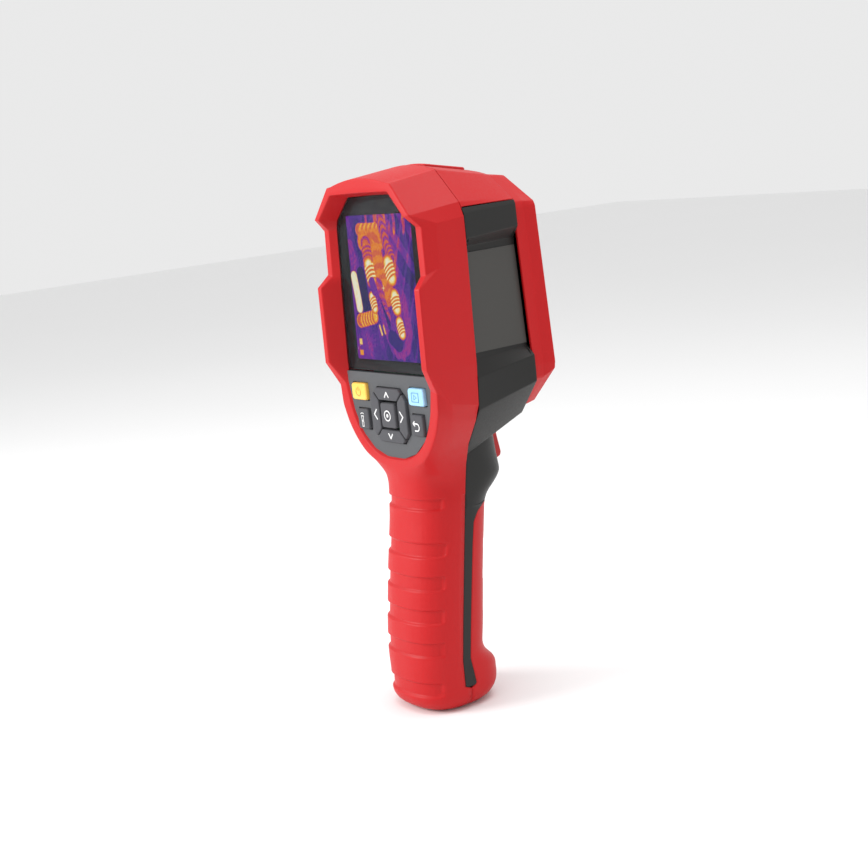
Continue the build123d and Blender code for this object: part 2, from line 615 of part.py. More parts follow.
cell = Location((0, -9.4, CELL_Z)) * Cylinder(CELL_RADIUS, CELL_LENGTH)
button = Location((0, -9.4, CELL_Z + CELL_LENGTH / 2 + 0.5)) * Cylinder(3.0, 1.0)
save("battery_cell", leaning(cell + button))
cradle = block(-11.0, 11.0, -20.0, -9.4, CELL_Z - 35.0, CELL_Z + 35.0)
cradle -= Location((0, -9.4, CELL_Z)) * Cylinder(CELL_RADIUS + 0.1, CELL_LENGTH + 4.0)
save("battery_cradle", leaning(cradle))
contact_top = block(-5, 5, -15.0, -8.6, CELL_Z + 33.5, CELL_Z + 34.4)
contact_foot = block(-5, 5, -15.0, -8.6, CELL_Z - 34.4, CELL_Z - 32.5)
save("battery_contacts", leaning(contact_top), leaning(contact_foot))
insert = rod(INSERT_RADIUS, (0, -THREAD_BACK, FOOT_Z), (0, -THREAD_BACK, FOOT_Z + INSERT_LENGTH))
bore = rod(THREAD_RADIUS, (0, -THREAD_BACK, FOOT_Z - 1), (0, -THREAD_BACK, FOOT_Z + THREAD_LENGTH))
save("tripod_insert", insert - bore)
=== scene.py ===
"""Looks for a pistol-grip thermal camera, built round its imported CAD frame."""
import math

import bmesh
import bpy
import numpy as np
from mathutils import Matrix, Vector


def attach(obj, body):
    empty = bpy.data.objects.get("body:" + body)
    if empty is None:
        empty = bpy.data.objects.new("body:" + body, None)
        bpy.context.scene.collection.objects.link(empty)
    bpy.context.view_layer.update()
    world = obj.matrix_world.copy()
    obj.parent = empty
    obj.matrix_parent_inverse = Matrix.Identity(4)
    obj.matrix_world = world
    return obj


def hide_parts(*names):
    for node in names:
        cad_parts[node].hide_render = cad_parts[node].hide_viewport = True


bl_info = {
    "name": "Thermal Camera Looks",
    "blender": (4, 5, 0),
    "version": (1, 0, 0),
    "location": "3D View > Sidebar > Thermal Camera",
    "description": "Overmoulded shells, keypad, lit display and optics of a handheld thermal camera",
    "category": "Add Mesh",
}

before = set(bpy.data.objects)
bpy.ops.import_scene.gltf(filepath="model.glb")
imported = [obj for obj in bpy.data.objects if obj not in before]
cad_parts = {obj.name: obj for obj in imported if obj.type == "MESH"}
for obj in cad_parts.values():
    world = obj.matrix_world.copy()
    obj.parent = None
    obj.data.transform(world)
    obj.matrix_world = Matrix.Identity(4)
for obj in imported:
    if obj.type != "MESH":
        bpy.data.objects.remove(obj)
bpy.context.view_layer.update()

MM = 0.001
# The head datum: the seam plane behind the mid housing and the top of the navigation keys.
DATUM = np.array([0.0, 8.0, 140.0])
FOOT_Z = -140.0
FRONT_SEAM = 30.5
GRIP_POWER = 2.6
FOOT_ROUND = 7.4
CROWN = 2.6
NECK_Z = -47.0


# ---- numbers along the grip ---------------------------------------------------------
GRIP_Z = np.array([-140.0, -131.0, -124.0, -122.5, -119.0, -115.5, -103.0, -80.0, -57.0,
                   -54.0, -50.0, -46.0, -42.5, -34.0, -22.0])
GRIP_HALF = np.array([21.6, 21.6, 21.5, 21.4, 21.2, 21.1, 20.8, 20.6, 20.5,
                      20.5, 20.5, 20.4, 20.4, 20.3, 20.3])
GRIP_REAR = np.array([-30.2, -30.2, -30.1, -30.1, -30.0, -29.9, -29.0, -25.6, -21.4,
                      -21.0, -20.9, -20.9, -20.9, -21.0, -21.0])
GRIP_FRONT = np.array([9.2, 12.4, 12.4, 10.8, 7.4, 6.0, 8.3, 11.3, 15.1,
                       15.6, 17.8, 23.5, 26.9, 25.6, 24.6])


def blurred(z, knots, values, reach=2.0, steps=9):
    """Straight runs between knots, averaged over a short reach so that they bend smoothly."""
    shifts = np.linspace(-reach, reach, steps)
    return np.mean([np.interp(z + shift, knots, values) for shift in shifts], axis=0)


def grip_axes(z):
    """Half width, middle and half depth of the grip's section, shrinking round the foot's edge."""
    half = blurred(z, GRIP_Z, GRIP_HALF)
    rear = blurred(z, GRIP_Z, GRIP_REAR, 5.0)
    front = blurred(z, GRIP_Z, GRIP_FRONT, 1.6)
    rise = np.clip((z - FOOT_Z) / FOOT_ROUND, 0.0, 1.0)
    tuck = FOOT_ROUND * (1.0 - np.sqrt(1.0 - (1.0 - rise) ** 2))
    return half - tuck, (front + rear) / 2, (front - rear) / 2 - tuck


def rear_seam(z):
    """Depth of the seam between the rear half of the grip and the black strip."""
    return np.interp(z, [-140.0, -131.0, -129.8, -118.4, -34.0, -20.0],
                     [-10.6, -10.6, -13.6, -13.3, 0.0, 0.0])


def front_seam(z):
    """Depth of the seam between the black strip and the front half of the grip."""
    return np.interp(z, [-140.0, -131.0, -129.8, -118.2, -87.8, -68.8, -60.0, -56.0, -53.5, -52.0],
                     [-10.6, -10.6, -7.6, -9.1, -4.0, -0.8, 1.0, 4.0, 9.0, 40.0])


def seam_angle(z, depth):
    """Angle round the section at which the surface reaches a depth."""
    _, middle, deep = grip_axes(z)
    share = np.clip((depth - middle) / deep, -1.0, 1.0)
    return np.arcsin(np.sign(share) * np.abs(share) ** (GRIP_POWER / 2))


def grip_point(z, angle, inset=0.0):
    """Point on the superellipse section: half width and half depth to the power 2 / GRIP_POWER."""
    half, middle, deep = grip_axes(z)
    c, s = np.cos(angle), np.sin(angle)
    x = (half - inset) * np.sign(c) * np.abs(c) ** (2 / GRIP_POWER)
    y = middle + (deep - inset) * np.sign(s) * np.abs(s) ** (2 / GRIP_POWER)
    return np.stack([x, y, z + np.zeros_like(x)], axis=-1)


def rounded_box(across, along, half_across, half_along, corner):
    """Signed distance to a rounded rectangle, negative inside."""
    dx = np.abs(across) - half_across + corner
    dz = np.abs(along) - half_along + corner
    outside = np.hypot(np.maximum(dx, 0), np.maximum(dz, 0))
    return outside + np.minimum(np.maximum(dx, dz), 0) - corner


def ramp(value, low, high):
    """Smooth step from 0 to 1."""
    t = np.clip((value - low) / (high - low), 0.0, 1.0)
    return t * t * (3 - 2 * t)


# ---- mesh building ------------------------------------------------------------------
def grid_faces(rows, columns, closed=False, offset=0):
    """Quads of a grid of rows by columns, wrapping round the columns when closed."""
    last = columns if closed else columns - 1
    r, c = np.meshgrid(np.arange(rows - 1), np.arange(last), indexing="ij")
    right = (c + 1) % columns
    this, above = r * columns, (r + 1) * columns
    quads = np.stack([this + c, this + right, above + right, above + c], -1)
    return quads.reshape(-1, 4) + offset


def mesh_object(name, points, quads):
    """A mesh object in metres from points given in millimetres from the head datum."""
    mesh = bpy.data.meshes.new(name)
    mesh.from_pydata(((points + DATUM) * MM).tolist(), [], quads.tolist())
    mesh.validate()
    mesh.polygons.foreach_set("use_smooth", np.ones(len(mesh.polygons), dtype=bool))
    mesh.update()
    piece = bpy.data.objects.new(name, mesh)
    bpy.context.scene.collection.objects.link(piece)
    return piece


SKIN_WELD, SMALL_WELD = 0.02, 0.004


def join_grids(name, grids, closed=(), flips=(), weld=SKIN_WELD, shades=None, materials=()):
    """One object from several grids, welded where they meet; shades picks each grid's material."""
    points, quads, start = [], [], 0
    for k, grid in enumerate(grids):
        rows, columns = grid.shape[:2]
        faces = grid_faces(rows, columns, k in closed, start)
        if k in flips:
            faces = faces[:, ::-1]
        points.append(grid.reshape(-1, 3))
        quads.append(faces)
        start += rows * columns
    piece = mesh_object(name, np.concatenate(points), np.concatenate(quads))
    for material in materials:
        piece.data.materials.append(material)
    if shades is not None:
        marks = np.repeat(shades, [len(faces) for faces in quads]).astype(np.int32)
        piece.data.polygons.foreach_set("material_index", marks)
    weld_points(piece, weld)
    return piece


def closed_piece(name, grid, flips=()):
    """One object from a single grid whose rows are closed rings."""
    return join_grids(name, [grid], {0}, flips, SMALL_WELD)


def weld_points(piece, reach):
    """Merge the points that lie on one another and drop the empty faces left."""
    work = bmesh.new()
    work.from_mesh(piece.data)
    bmesh.ops.remove_doubles(work, verts=work.verts, dist=reach * MM)
    bmesh.ops.dissolve_degenerate(work, edges=work.edges, dist=1e-6)
    work.to_mesh(piece.data)
    work.free()


def stations(knots, step, reach):
    """Places along a path: five close together across each knot and even steps between."""
    crease = knots[:, None] + np.linspace(-1.0, 1.0, 5) * np.broadcast_to(reach, knots.shape)[:, None]
    even = np.linspace(0.0, knots[-1], max(int(knots[-1] / step), 2))
    near = np.abs(even[:, None] - knots).min(axis=1) > np.max(reach) * 0.2 + 0.25
    places = np.unique(np.round(np.concatenate([crease.ravel(), even[near], knots[[0, -1]]]), 3))
    places = places[(places >= 0.0) & (places <= knots[-1])]
    return places[np.concatenate([[True], np.diff(places) > 0.02])]


def net_surface(net, step_u, step_v, round_u, round_v):
    """Surface over a net of control points (rows v, columns u).

    Each point is a straight blend between the four net points round it, averaged over a
    short reach both ways, so that flat facets meet in rounded edges.
    """
    net = np.asarray(net, dtype=float)
    gaps_u = np.linalg.norm(np.diff(net, axis=1), axis=2).max(axis=0)
    gaps_v = np.linalg.norm(np.diff(net, axis=0), axis=2).mean(axis=1)
    at_u = np.concatenate([[0], np.cumsum(np.maximum(gaps_u, 0.3))])
    at_v = np.concatenate([[0], np.cumsum(np.maximum(gaps_v, 0.3))])
    u = step_u if np.ndim(step_u) else stations(at_u, step_u, round_u)
    v = step_v if np.ndim(step_v) else stations(at_v, step_v, round_v)

    def slide(values, knots, places, reach):
        pad_low = 2 * values[:1] - values[1:2]
        pad_high = 2 * values[-1:] - values[-2:-1]
        first, last = knots[1] - knots[0], knots[-1] - knots[-2]
        padded = np.concatenate([pad_low, values, pad_high])
        marks = np.concatenate([[knots[0] - first], knots, [knots[-1] + last]])
        flat = padded.reshape(len(marks), -1)
        shifts = np.linspace(-1, 1, 9)
        total = 0
        for shift in shifts:
            spots = places + shift * reach
            index = np.clip(np.searchsorted(marks, spots) - 1, 0, len(marks) - 2)
            share = ((spots - marks[index]) / (marks[index + 1] - marks[index]))[:, None]
            total = total + flat[index] * (1 - share) + flat[index + 1] * share
        return (total / len(shifts)).reshape(len(places), *values.shape[1:])

    rows = slide(net, at_v, v, np.interp(v, at_v, round_v) if np.ndim(round_v) else round_v)
    spread = np.interp(u, at_u, round_u) if np.ndim(round_u) else round_u
    return np.swapaxes(slide(np.swapaxes(rows, 0, 1), at_u, u, spread), 0, 1)


def mirrored(half_net):
    """A whole net from its right-hand half, whose last column lies on the mirror plane."""
    left = np.asarray(half_net)[:, -2::-1].copy()
    left[..., 0] *= -1
    return np.concatenate([half_net, left], axis=1)


# ---- outlines of the shells, right-hand half, in millimetres from the head datum ------
# Each row runs from the middle of the keypad's foot, up the right flank, to the top.
GLASS_LINE = [
    (0, -20.6, -29.0), (6, -20.6, -29.0), (12, -20.6, -27.6), (17.2, -20.6, -24.5), (22, -20.6, -19.8),
    (25.2, -20.6, -14.5), (27.6, -20.6, -8.0), (29.2, -20.4, 1.8), (29.6, -20.1, 11.3), (29.5, -19.0, 43.5),
    (29.3, -18.9, 48.0), (29.0, -18.2, 67.8), (28.4, -18.2, 70.0), (27.8, -18.1, 71.8), (18.5, -17.8, 81.0),
    (0, -17.8, 81.3),
]
RIM_INNER = [
    (0, -21.9, -30.1), (6.1, -21.9, -30.1), (12.4, -21.9, -28.7), (18.0, -21.9, -25.5), (23.0, -21.9, -20.6),
    (26.4, -21.9, -15.0), (29.0, -21.9, -8.2), (30.8, -21.9, 1.6), (33.8, -27.4, 11.3), (33.8, -26.8, 43.5),
    (32.0, -21.5, 48.0), (31.5, -21.0, 67.9), (31.1, -23.5, 70.1), (30.7, -26.0, 72.4), (20.7, -25.5, 82.7),
    (0, -25.5, 83.0),
]
RIM_OUTER = [
    (0, -21.7, -33.4), (6.4, -21.7, -33.2), (13.5, -21.7, -32.0), (20.9, -22.2, -29.2), (27.4, -22.3, -23.5),
    (32.0, -22.3, -16.3), (34.7, -22.2, -8.2), (35.1, -22.0, 0.5), (36.9, -27.1, 10.9), (36.9, -26.5, 43.5),
    (35.5, -21.4, 48.6), (35.1, -20.8, 67.4), (34.5, -23.2, 70.0), (33.8, -25.8, 72.7), (22.4, -25.3, 85.7),
    (0, -25.3, 86.1),
]
FLANK_CREASE = [
    (0, -21.2, -40.0), (7.5, -20.4, -40.0), (14.2, -18.2, -38.5), (19.2, -13.0, -36.0), (22.8, -12.5, -30.0),
    (27.8, -13.0, -22.8), (33.2, -14.0, -12.0), (36.1, -15.7, -4.7), (37.0, -26.6, 11.2), (37.0, -26.0, 43.3),
    (36.9, -15.2, 50.9), (36.9, -14.9, 64.1), (36.85, -14.2, 68.3), (34.3, -25.2, 72.7), (22.8, -24.9, 85.9),
    (0, -24.9, 86.3),
]
REAR_SEAM_LINE = [
    (0, -20.9, NECK_Z), (9, -20.0, NECK_Z), (16.5, -15.0, NECK_Z), (20.45, -2.05, NECK_Z),
    (20.7, -0.2, -34.5),
    (23.8, -0.2, -25.6), (30.6, -0.2, -14.8), (33.7, -0.2, -8.0), (35.2, -0.2, 9.0), (36.2, -0.2, 43.0),
    (36.5, -0.2, 51.5), (36.75, -0.2, 65.0), (36.7, -0.2, 69.6), (34.4, -0.2, 75.4), (20.8, -0.2, 89.0),
    (0, -0.2, 89.3),
]
SOFTNESS = np.array([1, 1, 1, 1, 1, 0.8, 0.35, 0, 0, 0, 0, 0, 0, 0, 0, 0], dtype=float)

MID_REAR = [
    (0, -31.0), (20.3, -31.0), (33.4, -10.4), (34.0, -5.0), (34.9, 3.4), (32.1, 10.4), (33.4, 57.0),
    (36.75, 60.4), (36.7, 70.5), (35.5, 73.0),
]
MID_FRONT = [
    (0, -18.4), (24.0, -17.8), (36.0, -3.2), (36.1, 1.0), (36.1, 7.9), (31.8, 12.0), (29.8, 57.6),
    (33.3, 62.4), (33.1, 71.6), (32.4, 73.2),
]
BAND_REAR = [(35.2, 73.4), (34.4, 75.3), (20.8, 89.0), (0, 89.3)]
BAND_FRONT = [(32.1, 73.6), (30.9, 74.2), (17.7, 84.1), (0, 84.4)]
WAIST = [(0, -15.8), (21.0, -15.4), (34.2, -2.5), (34.8, 3.0),
         (31.7, 69.5), (31.0, 72.0), (16.5, 83.4), (0, 83.8)]
FLARE = [(0, -14.8), (21.1, -14.5), (36.8, 0.6), (37.4, 3.4),
         (33.9, 70.0), (33.0, 71.8), (15.6, 82.9), (0, 83.2)]
NOSE = [(0, -10.8), (15.8, -10.6), (30.0, 2.8), (30.6, 4.8),
        (27.2, 66.6), (26.2, 68.2), (10.6, 78.6), (0, 79.0)]
PLATE = [(0, -7.4), (14.6, -7.2), (27.2, 5.2), (27.8, 7.0),
         (24.6, 64.0), (23.5, 65.8), (9.4, 75.6), (0, 75.8)]

# Grooves of the grip as (height, reach along the arc from the middle of the back).
REAR_GROOVES = [(-48.8, 21.0), (-68.8, 22.8), (-83.0, 22.8), (-97.2, 22.8), (-111.4, 22.2), (-129.2, 20.4)]
FRONT_GROOVES = [(-71.5, 17.5), (-84.8, 17.5), (-98.6, 17.5), (-112.4, 17.5)]


ROOF_TOP, ROOF_HALF, ROOF_TAPER = 89.0, 20.8, 0.12
ROOF_FALL, HOOD_RISE = 4.9 / 30.5, 3.3 / 25.3


def crowned(points):
    """The top face bows up: CROWN times one less the square of the share of the way across."""
    x, y, z = points[..., 0], points[..., 1], points[..., 2]
    roof = np.where(y > 0, ROOF_TOP - ROOF_FALL * y, ROOF_TOP + HOOD_RISE * y)
    share = np.clip(np.abs(x) / (ROOF_HALF - ROOF_TAPER * np.maximum(y, 0.0)), 0.0, 1.0)
    fade = ramp(z - roof, -2.6, -0.3) * (1.0 - 0.7 * ramp(y, 28.0, 37.0))
    lifted = points.copy()
    lifted[..., 2] += CROWN * (1.0 - share ** 2) * fade
    return lifted


def bowed_roof(x, y):
    """Height of the roof in front of the hood: a straight fall forwards plus the bow across."""
    return ROOF_TOP - ROOF_FALL * y + CROWN * (1 - (x / (ROOF_HALF - ROOF_TAPER * y)) ** 2)


def arc_across(skin):
    """Length along each row of a grip skin, measured from its middle."""
    steps = np.linalg.norm(np.diff(skin, axis=1), axis=2)
    run = np.concatenate([np.zeros((len(skin), 1)), np.cumsum(steps, axis=1)], axis=1)
    return run - run[:, -1:] / 2


def at_depth(outline, y):
    """An (x, z) outline placed at one depth."""
    return [(x, y, z) for x, z in outline]


def inward(row, amount):
    """A row of points moved towards the head's axis."""
    points = np.array(row, dtype=float)
    middle = np.array([0.0, 30.0])
    spread = points[:, [0, 2]] - middle
    reach = np.maximum(np.linalg.norm(spread, axis=1, keepdims=True), 1.0)
    points[:, [0, 2]] -= spread / reach * amount
    return points


def thicken(piece, millimetres):
    """Give a skin its wall, inwards from the outer face."""
    wall = piece.modifiers.new("wall", "SOLIDIFY")
    wall.thickness = millimetres * MM
    wall.offset = -1.0
    wall.use_even_offset = False


def groove_depth(across, z, bands, height, depth):
    """Depth of the shallow rounded grooves at each point of the grip."""
    sunk = np.zeros_like(across)
    for middle, reach in bands:
        edge = rounded_box(across, z - middle, reach, height / 2, 1.3)
        sunk = np.maximum(sunk, depth * ramp(-edge, -0.05, 0.42))
    return sunk


def grip_rows(low, high, step):
    """Heights of the rows of a grip skin, closer together round the foot's edge."""
    body = np.arange(low + FOOT_ROUND, high, step) if low <= FOOT_Z else np.arange(low, high, step)
    rows = np.append(body, high)
    if low <= FOOT_Z:
        swing = np.linspace(0, np.pi / 2, 14, endpoint=False)
        rows = np.concatenate([FOOT_Z + FOOT_ROUND * (1 - np.cos(swing)), rows])
    return rows


def close_foot(grid, middle_y):
    """Rows that carry a foot's lowest ring to the middle of the sole."""
    ring = grid[0]
    centre = np.array([0.0, middle_y, FOOT_Z])
    shares = np.array([0.0, 0.35, 0.7])[:, None, None]
    return centre + (ring[None] - centre) * shares


def build_rear_cover():
    """The hood and the rear half of the grip in one moulding.

    The hood is a net from the glass line over the rim to the seam; below it the net runs
    on to a ring round the neck, and the grip is a superellipse with rounded grooves.
    """
    half = np.array([GLASS_LINE, RIM_INNER, RIM_OUTER, FLANK_CREASE, REAR_SEAM_LINE], dtype=float)
    soft = np.concatenate([SOFTNESS, SOFTNESS[-2::-1]])
    net = mirrored(half)
    surface = crowned(soft_net(net, soft, 1.6, 1.1))
    neck = ramp(-surface[..., 2], 34.0, 46.0)[..., None]
    half_width, middle, deep = grip_axes(surface[..., 2])
    reach = (np.abs(surface[..., 0] / half_width) ** GRIP_POWER
             + np.abs((surface[..., 1] - middle) / deep) ** GRIP_POWER) ** (1 / GRIP_POWER)
    snapped = surface.copy()
    snapped[..., 0] = surface[..., 0] / reach
    snapped[..., 1] = middle + (surface[..., 1] - middle) / reach
    surface = surface * (1 - neck) + snapped * neck
    low = np.abs(surface[-1, :, 2] - NECK_Z) < 1e-3
    columns = np.arange(surface.shape[1])
    split = columns[:-1][low[:-1] & ~low[1:]][0]
    back = columns[1:][~low[:-1] & low[1:]][0]
    ring = np.concatenate([surface[-1, back:], surface[-1, 1:split + 1]])
    half_width, middle, deep = grip_axes(ring[:, 2])
    offset = ring[:, 1] - middle
    angle = np.arctan2(np.sign(offset) * np.abs(offset / deep) ** (GRIP_POWER / 2),
                       np.sign(ring[:, 0]) * np.abs(ring[:, 0] / half_width) ** (GRIP_POWER / 2))
    angle = np.where(angle > np.pi / 2, angle - 2 * np.pi, angle)
    share = (angle + np.pi / 2) / np.abs(angle + np.pi / 2).max()
    rows = grip_rows(FOOT_Z, NECK_Z, 0.4)[:, None]
    span = seam_angle(rows, rear_seam(rows) - 0.15) + np.pi / 2
    turn = -np.pi / 2 + share[None] * span
    skin = grip_point(rows, turn)
    sunk = groove_depth(arc_across(skin), rows, REAR_GROOVES, 6.3, 0.95)
    skin = grip_point(rows, turn, sunk)
    skin[-1] = ring
    sole = close_foot(skin, -10.75)
    piece = join_grids("rear_cover_skin", [surface, np.concatenate([sole, skin])], flips=(0,))
    thicken(piece, bpy.context.scene.camera_sizes.cover_wall)
    return piece


def soft_net(net, soft, step_u, step_v):
    """A net with crisp edges that turn soft towards the neck, and an exact last row."""
    columns_round = 0.5 + 4.2 * soft
    rows_round = np.array([0.3, 0.35, 0.45, 0.5, 0.3])
    gaps = np.maximum(np.linalg.norm(np.diff(net, axis=1), axis=2).max(axis=0), 0.3)
    drops = np.maximum(np.linalg.norm(np.diff(net, axis=0), axis=2).mean(axis=1), 0.3)
    marks = np.concatenate([[0], np.cumsum(gaps)])
    places = stations(marks, step_u, columns_round)
    levels = stations(np.concatenate([[0], np.cumsum(drops)]), step_v, rows_round)
    sharp = net_surface(net, places, levels, columns_round, rows_round)
    loose = net_surface(net, places, levels, columns_round, 3.0)
    weight = np.interp(places, marks, soft)[None, :, None]
    progress = levels / levels[-1]
    rise = ramp(progress, 0.1, 0.5)[:, None, None]
    surface = sharp * (1 - weight * rise) + loose * weight * rise
    exact = np.stack([np.interp(places, marks, net[-1, :, axis]) for axis in range(3)], -1)
    fade = ramp(progress, 0.45, 1.0)[:, None, None]
    return surface + fade * (exact - surface[-1])[None]


def build_front_grip():
    """The front half of the grip: a superellipse with ribs and a swelling toe."""
    rows = grip_rows(FOOT_Z, -53.15, 0.45)[:, None]
    start = seam_angle(rows, front_seam(rows) + 0.15)
    share = np.linspace(0, 1, 91)[None]
    turn = start + share * (np.pi - 2 * start)
    skin = grip_point(rows, turn)
    sunk = groove_depth(arc_across(skin), rows, FRONT_GROOVES, 5.2, 0.75)
    skin = grip_point(rows, turn, sunk)
    sole = close_foot(skin, -10.45)
    piece = join_grids("front_grip_skin", [np.concatenate([sole, skin])])
    thicken(piece, bpy.context.scene.camera_sizes.cover_wall)
    return piece


def build_mid_housing():
    """The black frame: flanks with sunk bays, the chin, the neck and the side strips."""
    rear, front = at_depth(MID_REAR, 0.15), at_depth(MID_FRONT, FRONT_SEAM - 0.1)
    half = np.array([inward(rear, 1.6), inward(rear, 0.25), rear,
                     front, inward(front, 0.25), inward(front, 1.6)])
    half[1, :, 1] -= 0.1
    half[4, :, 1] += 0.1
    left = half[:, ::-1].copy()
    left[..., 0] *= -1
    net = np.concatenate([left[:, :-1], half], axis=1)
    head = net_surface(net, 1.6, 1.6, 0.35, 0.18)
    rows = np.concatenate([np.arange(-130.2, -60.0, 0.8), np.arange(-60.0, -54.0, 0.15),
                           np.arange(-54.0, -20.0, 0.6)])[:, None]
    start = seam_angle(rows, rear_seam(rows) + 0.12)
    stop = np.minimum(seam_angle(rows, front_seam(rows) - 0.12), np.pi / 2)
    sides = []
    for side in (1, -1):
        share = np.linspace(0, 1, 61)[None]
        strip = grip_point(rows, start + share * (stop - start))
        strip[..., 0] *= side
        sides.append(strip)
    piece = join_grids("mid_housing_skin", [head, *sides], flips=(0, 2))
    thicken(piece, bpy.context.scene.camera_sizes.frame_wall)
    return piece


BAY_HALF, BAY_REAR, BAY_FRONT, BAY_DEEP = 9.2, 4.0, 27.8, 2.4
BAY_FLOOR_LIFT = 0.2
ROOF_FLANK = 80.0
# The lines of the bay's floor: its edges, and the edges of the wide socket and the narrow one.
BAY_X = np.array([-BAY_HALF, -7.3, -4.8, 4.8, 7.3, BAY_HALF])
BAY_Y = np.array([BAY_REAR, 11.2, 14.2, 15.6, 19.4, BAY_FRONT])


def socket_bay(surface):
    """The shallow bay under the lid: walls drop straight from the roof to a floor with two holes.

    Gives the roof with its rows and columns moved on to the bay's edges, the faces outside
    the bay, the walls and the floor.
    """
    roof = surface.copy()
    middle = roof.shape[1] // 2
    first, last = (int(np.abs(roof[:, middle, 1] - y).argmin()) for y in (BAY_REAR, BAY_FRONT))
    roof[first, :, 1], roof[last, :, 1] = BAY_REAR, BAY_FRONT
    span = slice(first, last + 1)
    flank = 99.0 * (roof[span, :, 2] <= ROOF_FLANK)
    sides = [int((np.abs(roof[span, :, 0] - x) + flank).mean(axis=0).argmin()) for x in (BAY_HALF, -BAY_HALF)]
    for column, x in zip(sides, (BAY_HALF, -BAY_HALF)):
        for row in range(first, last + 1):
            order = np.argsort(roof[row, :, 0])
            roof[row, column, 2] = np.interp(x, surface[row, order, 0], surface[row, order, 2])
            roof[row, column, 0] = x
    low, high = sorted(sides)
    patch = roof[first:last + 1, low:high + 1]
    ring = np.concatenate([patch[0, :-1], patch[:-1, -1], patch[-1, :0:-1], patch[:0:-1, 0]])
    drop = np.array([0.0, 0.0, BAY_DEEP])
    walls = np.array([ring, ring - drop])
    keep = np.ones((roof.shape[0] - 1, roof.shape[1] - 1), dtype=bool)
    keep[first:last, low:high] = False
    x, y = np.meshgrid(BAY_X, BAY_Y)
    floor = np.stack([x, y, bowed_roof(x, y) + BAY_FLOOR_LIFT - BAY_DEEP], axis=-1)
    solid = np.ones((5, 5), dtype=bool)
    solid[1, 1:4] = False
    solid[3, 2] = False
    return roof, keep, walls, floor, solid


BAND_WALL = 0.8


def build_top_band():
    """The red band that closes the head between hood and bumper, with the bay for the sockets."""
    rear, front = at_depth(BAND_REAR, 0.15), at_depth(BAND_FRONT, FRONT_SEAM - 0.1)
    half = np.array([inward(rear, 1.5), rear, front, inward(front, 1.5)])
    roof, keep, walls, floor, solid = socket_bay(crowned(net_surface(mirrored(half), 1.6, 1.6, 0.5, 0.22)))
    rows, columns = roof.shape[:2]
    roof_faces = grid_faces(rows, columns)[:, ::-1][keep.ravel()]
    start = rows * columns
    wall_faces = grid_faces(2, walls.shape[1], True, start)
    floor_faces = grid_faces(6, 6, False, start + walls.shape[0] * walls.shape[1])[solid.ravel()]
    points = np.concatenate([roof.reshape(-1, 3), walls.reshape(-1, 3), floor.reshape(-1, 3)])
    piece = mesh_object("top_band_skin", points, np.concatenate([roof_faces, wall_faces, floor_faces]))
    weld_points(piece, SKIN_WELD)
    thicken(piece, BAND_WALL)
    return piece


def build_bumper():
    """The flared red frame round the front plate."""
    back = at_depth(WAIST, FRONT_SEAM + 0.15)
    rings = [inward(back, 1.6), back, at_depth(WAIST, 35.8), at_depth(FLARE, 40.4),
             at_depth(NOSE, 44.8), at_depth(PLATE, 44.5), at_depth(PLATE, 41.2)]
    net = mirrored(np.array([np.array(row, dtype=float) for row in rings]))
    surface = crowned(net_surface(net, 1.6, 1.2, 0.6, 0.45))
    piece = join_grids("front_bumper_skin", [surface], flips=(0,))
    thicken(piece, bpy.context.scene.camera_sizes.frame_wall)
    return piece


# ---- keys, marks and the display -----------------------------------------------------
PANEL_FACE = -21.0
KEY_FACE = PANEL_FACE - 1.5
KEY_SKIRT = -18.4
NAV_Z = -10.8
NAV_HALF, NAV_TALL, NAV_CORNER = 12.6, 11.6, 4.6
SET_HALF, SET_TALL = 5.4, 5.6
SIDE_KEYS = {
    "power_key": (-26.0, -15.2, -5.4, 2.0), "play_key": (15.2, 26.0, -5.4, 2.0),
    "torch_key": (-23.6, -15.4, -18.2, -9.2), "back_key": (15.4, 23.6, -18.2, -9.2),
}


def rounded_ring(corners, radius, step=1.2):
    """A closed outline, anticlockwise seen from behind, whose corners are averaged over a radius."""
    closed = np.vstack([corners, corners[:1]]).astype(float)
    marks = np.concatenate([[0], np.cumsum(np.linalg.norm(np.diff(closed, axis=0), axis=1))])
    total = marks[-1]
    even = np.linspace(0, total, int(total / step) + 6, endpoint=False)
    gap = np.abs((even[:, None] - marks + total / 2) % total - total / 2).min(axis=1)
    turns = (marks[:-1, None] + np.linspace(-radius, radius, 7)).ravel()
    places = np.sort(np.concatenate([turns, even[gap > radius * 1.1]]) % total)
    spots = (places[:, None] + np.linspace(-radius, radius, 9)) % total
    return np.stack([np.interp(spots, marks, closed[:, k]).mean(axis=1) for k in (0, 1)], axis=-1)


def inward_sides(ring):
    """Unit vector at each point of an outline, square to it and pointing in."""
    tangent = np.roll(ring, -1, axis=0) - np.roll(ring, 1, axis=0)
    inwards = np.stack([-tangent[:, 1], tangent[:, 0]], axis=-1)
    return inwards / np.linalg.norm(inwards, axis=1, keepdims=True)


def cap_grid(ring, face, skirt, edge, dome):
    """Rings of a closed button: back, side, quarter-round edge and a face that bows by dome."""
    centre = ring.mean(axis=0)
    inwards = inward_sides(ring)
    turn = np.linspace(0.0, np.pi / 2, 6)
    inner = ring + inwards * edge
    layers = [(centre + (ring - centre) * share, skirt) for share in (0.0, 0.5)]
    layers += [(ring, skirt), (ring, (skirt + face) / 2)]
    layers += [(ring + inwards * edge * (1 - math.cos(t)), face + edge * (1 - math.sin(t))) for t in turn]
    layers += [(centre + (inner - centre) * share, face - dome * (1 - share ** 2))
               for share in (0.85, 0.65, 0.45, 0.25, 0.0)]
    return np.array([np.column_stack([flat[:, 0], np.full(len(flat), depth), flat[:, 1]])
                     for flat, depth in layers])


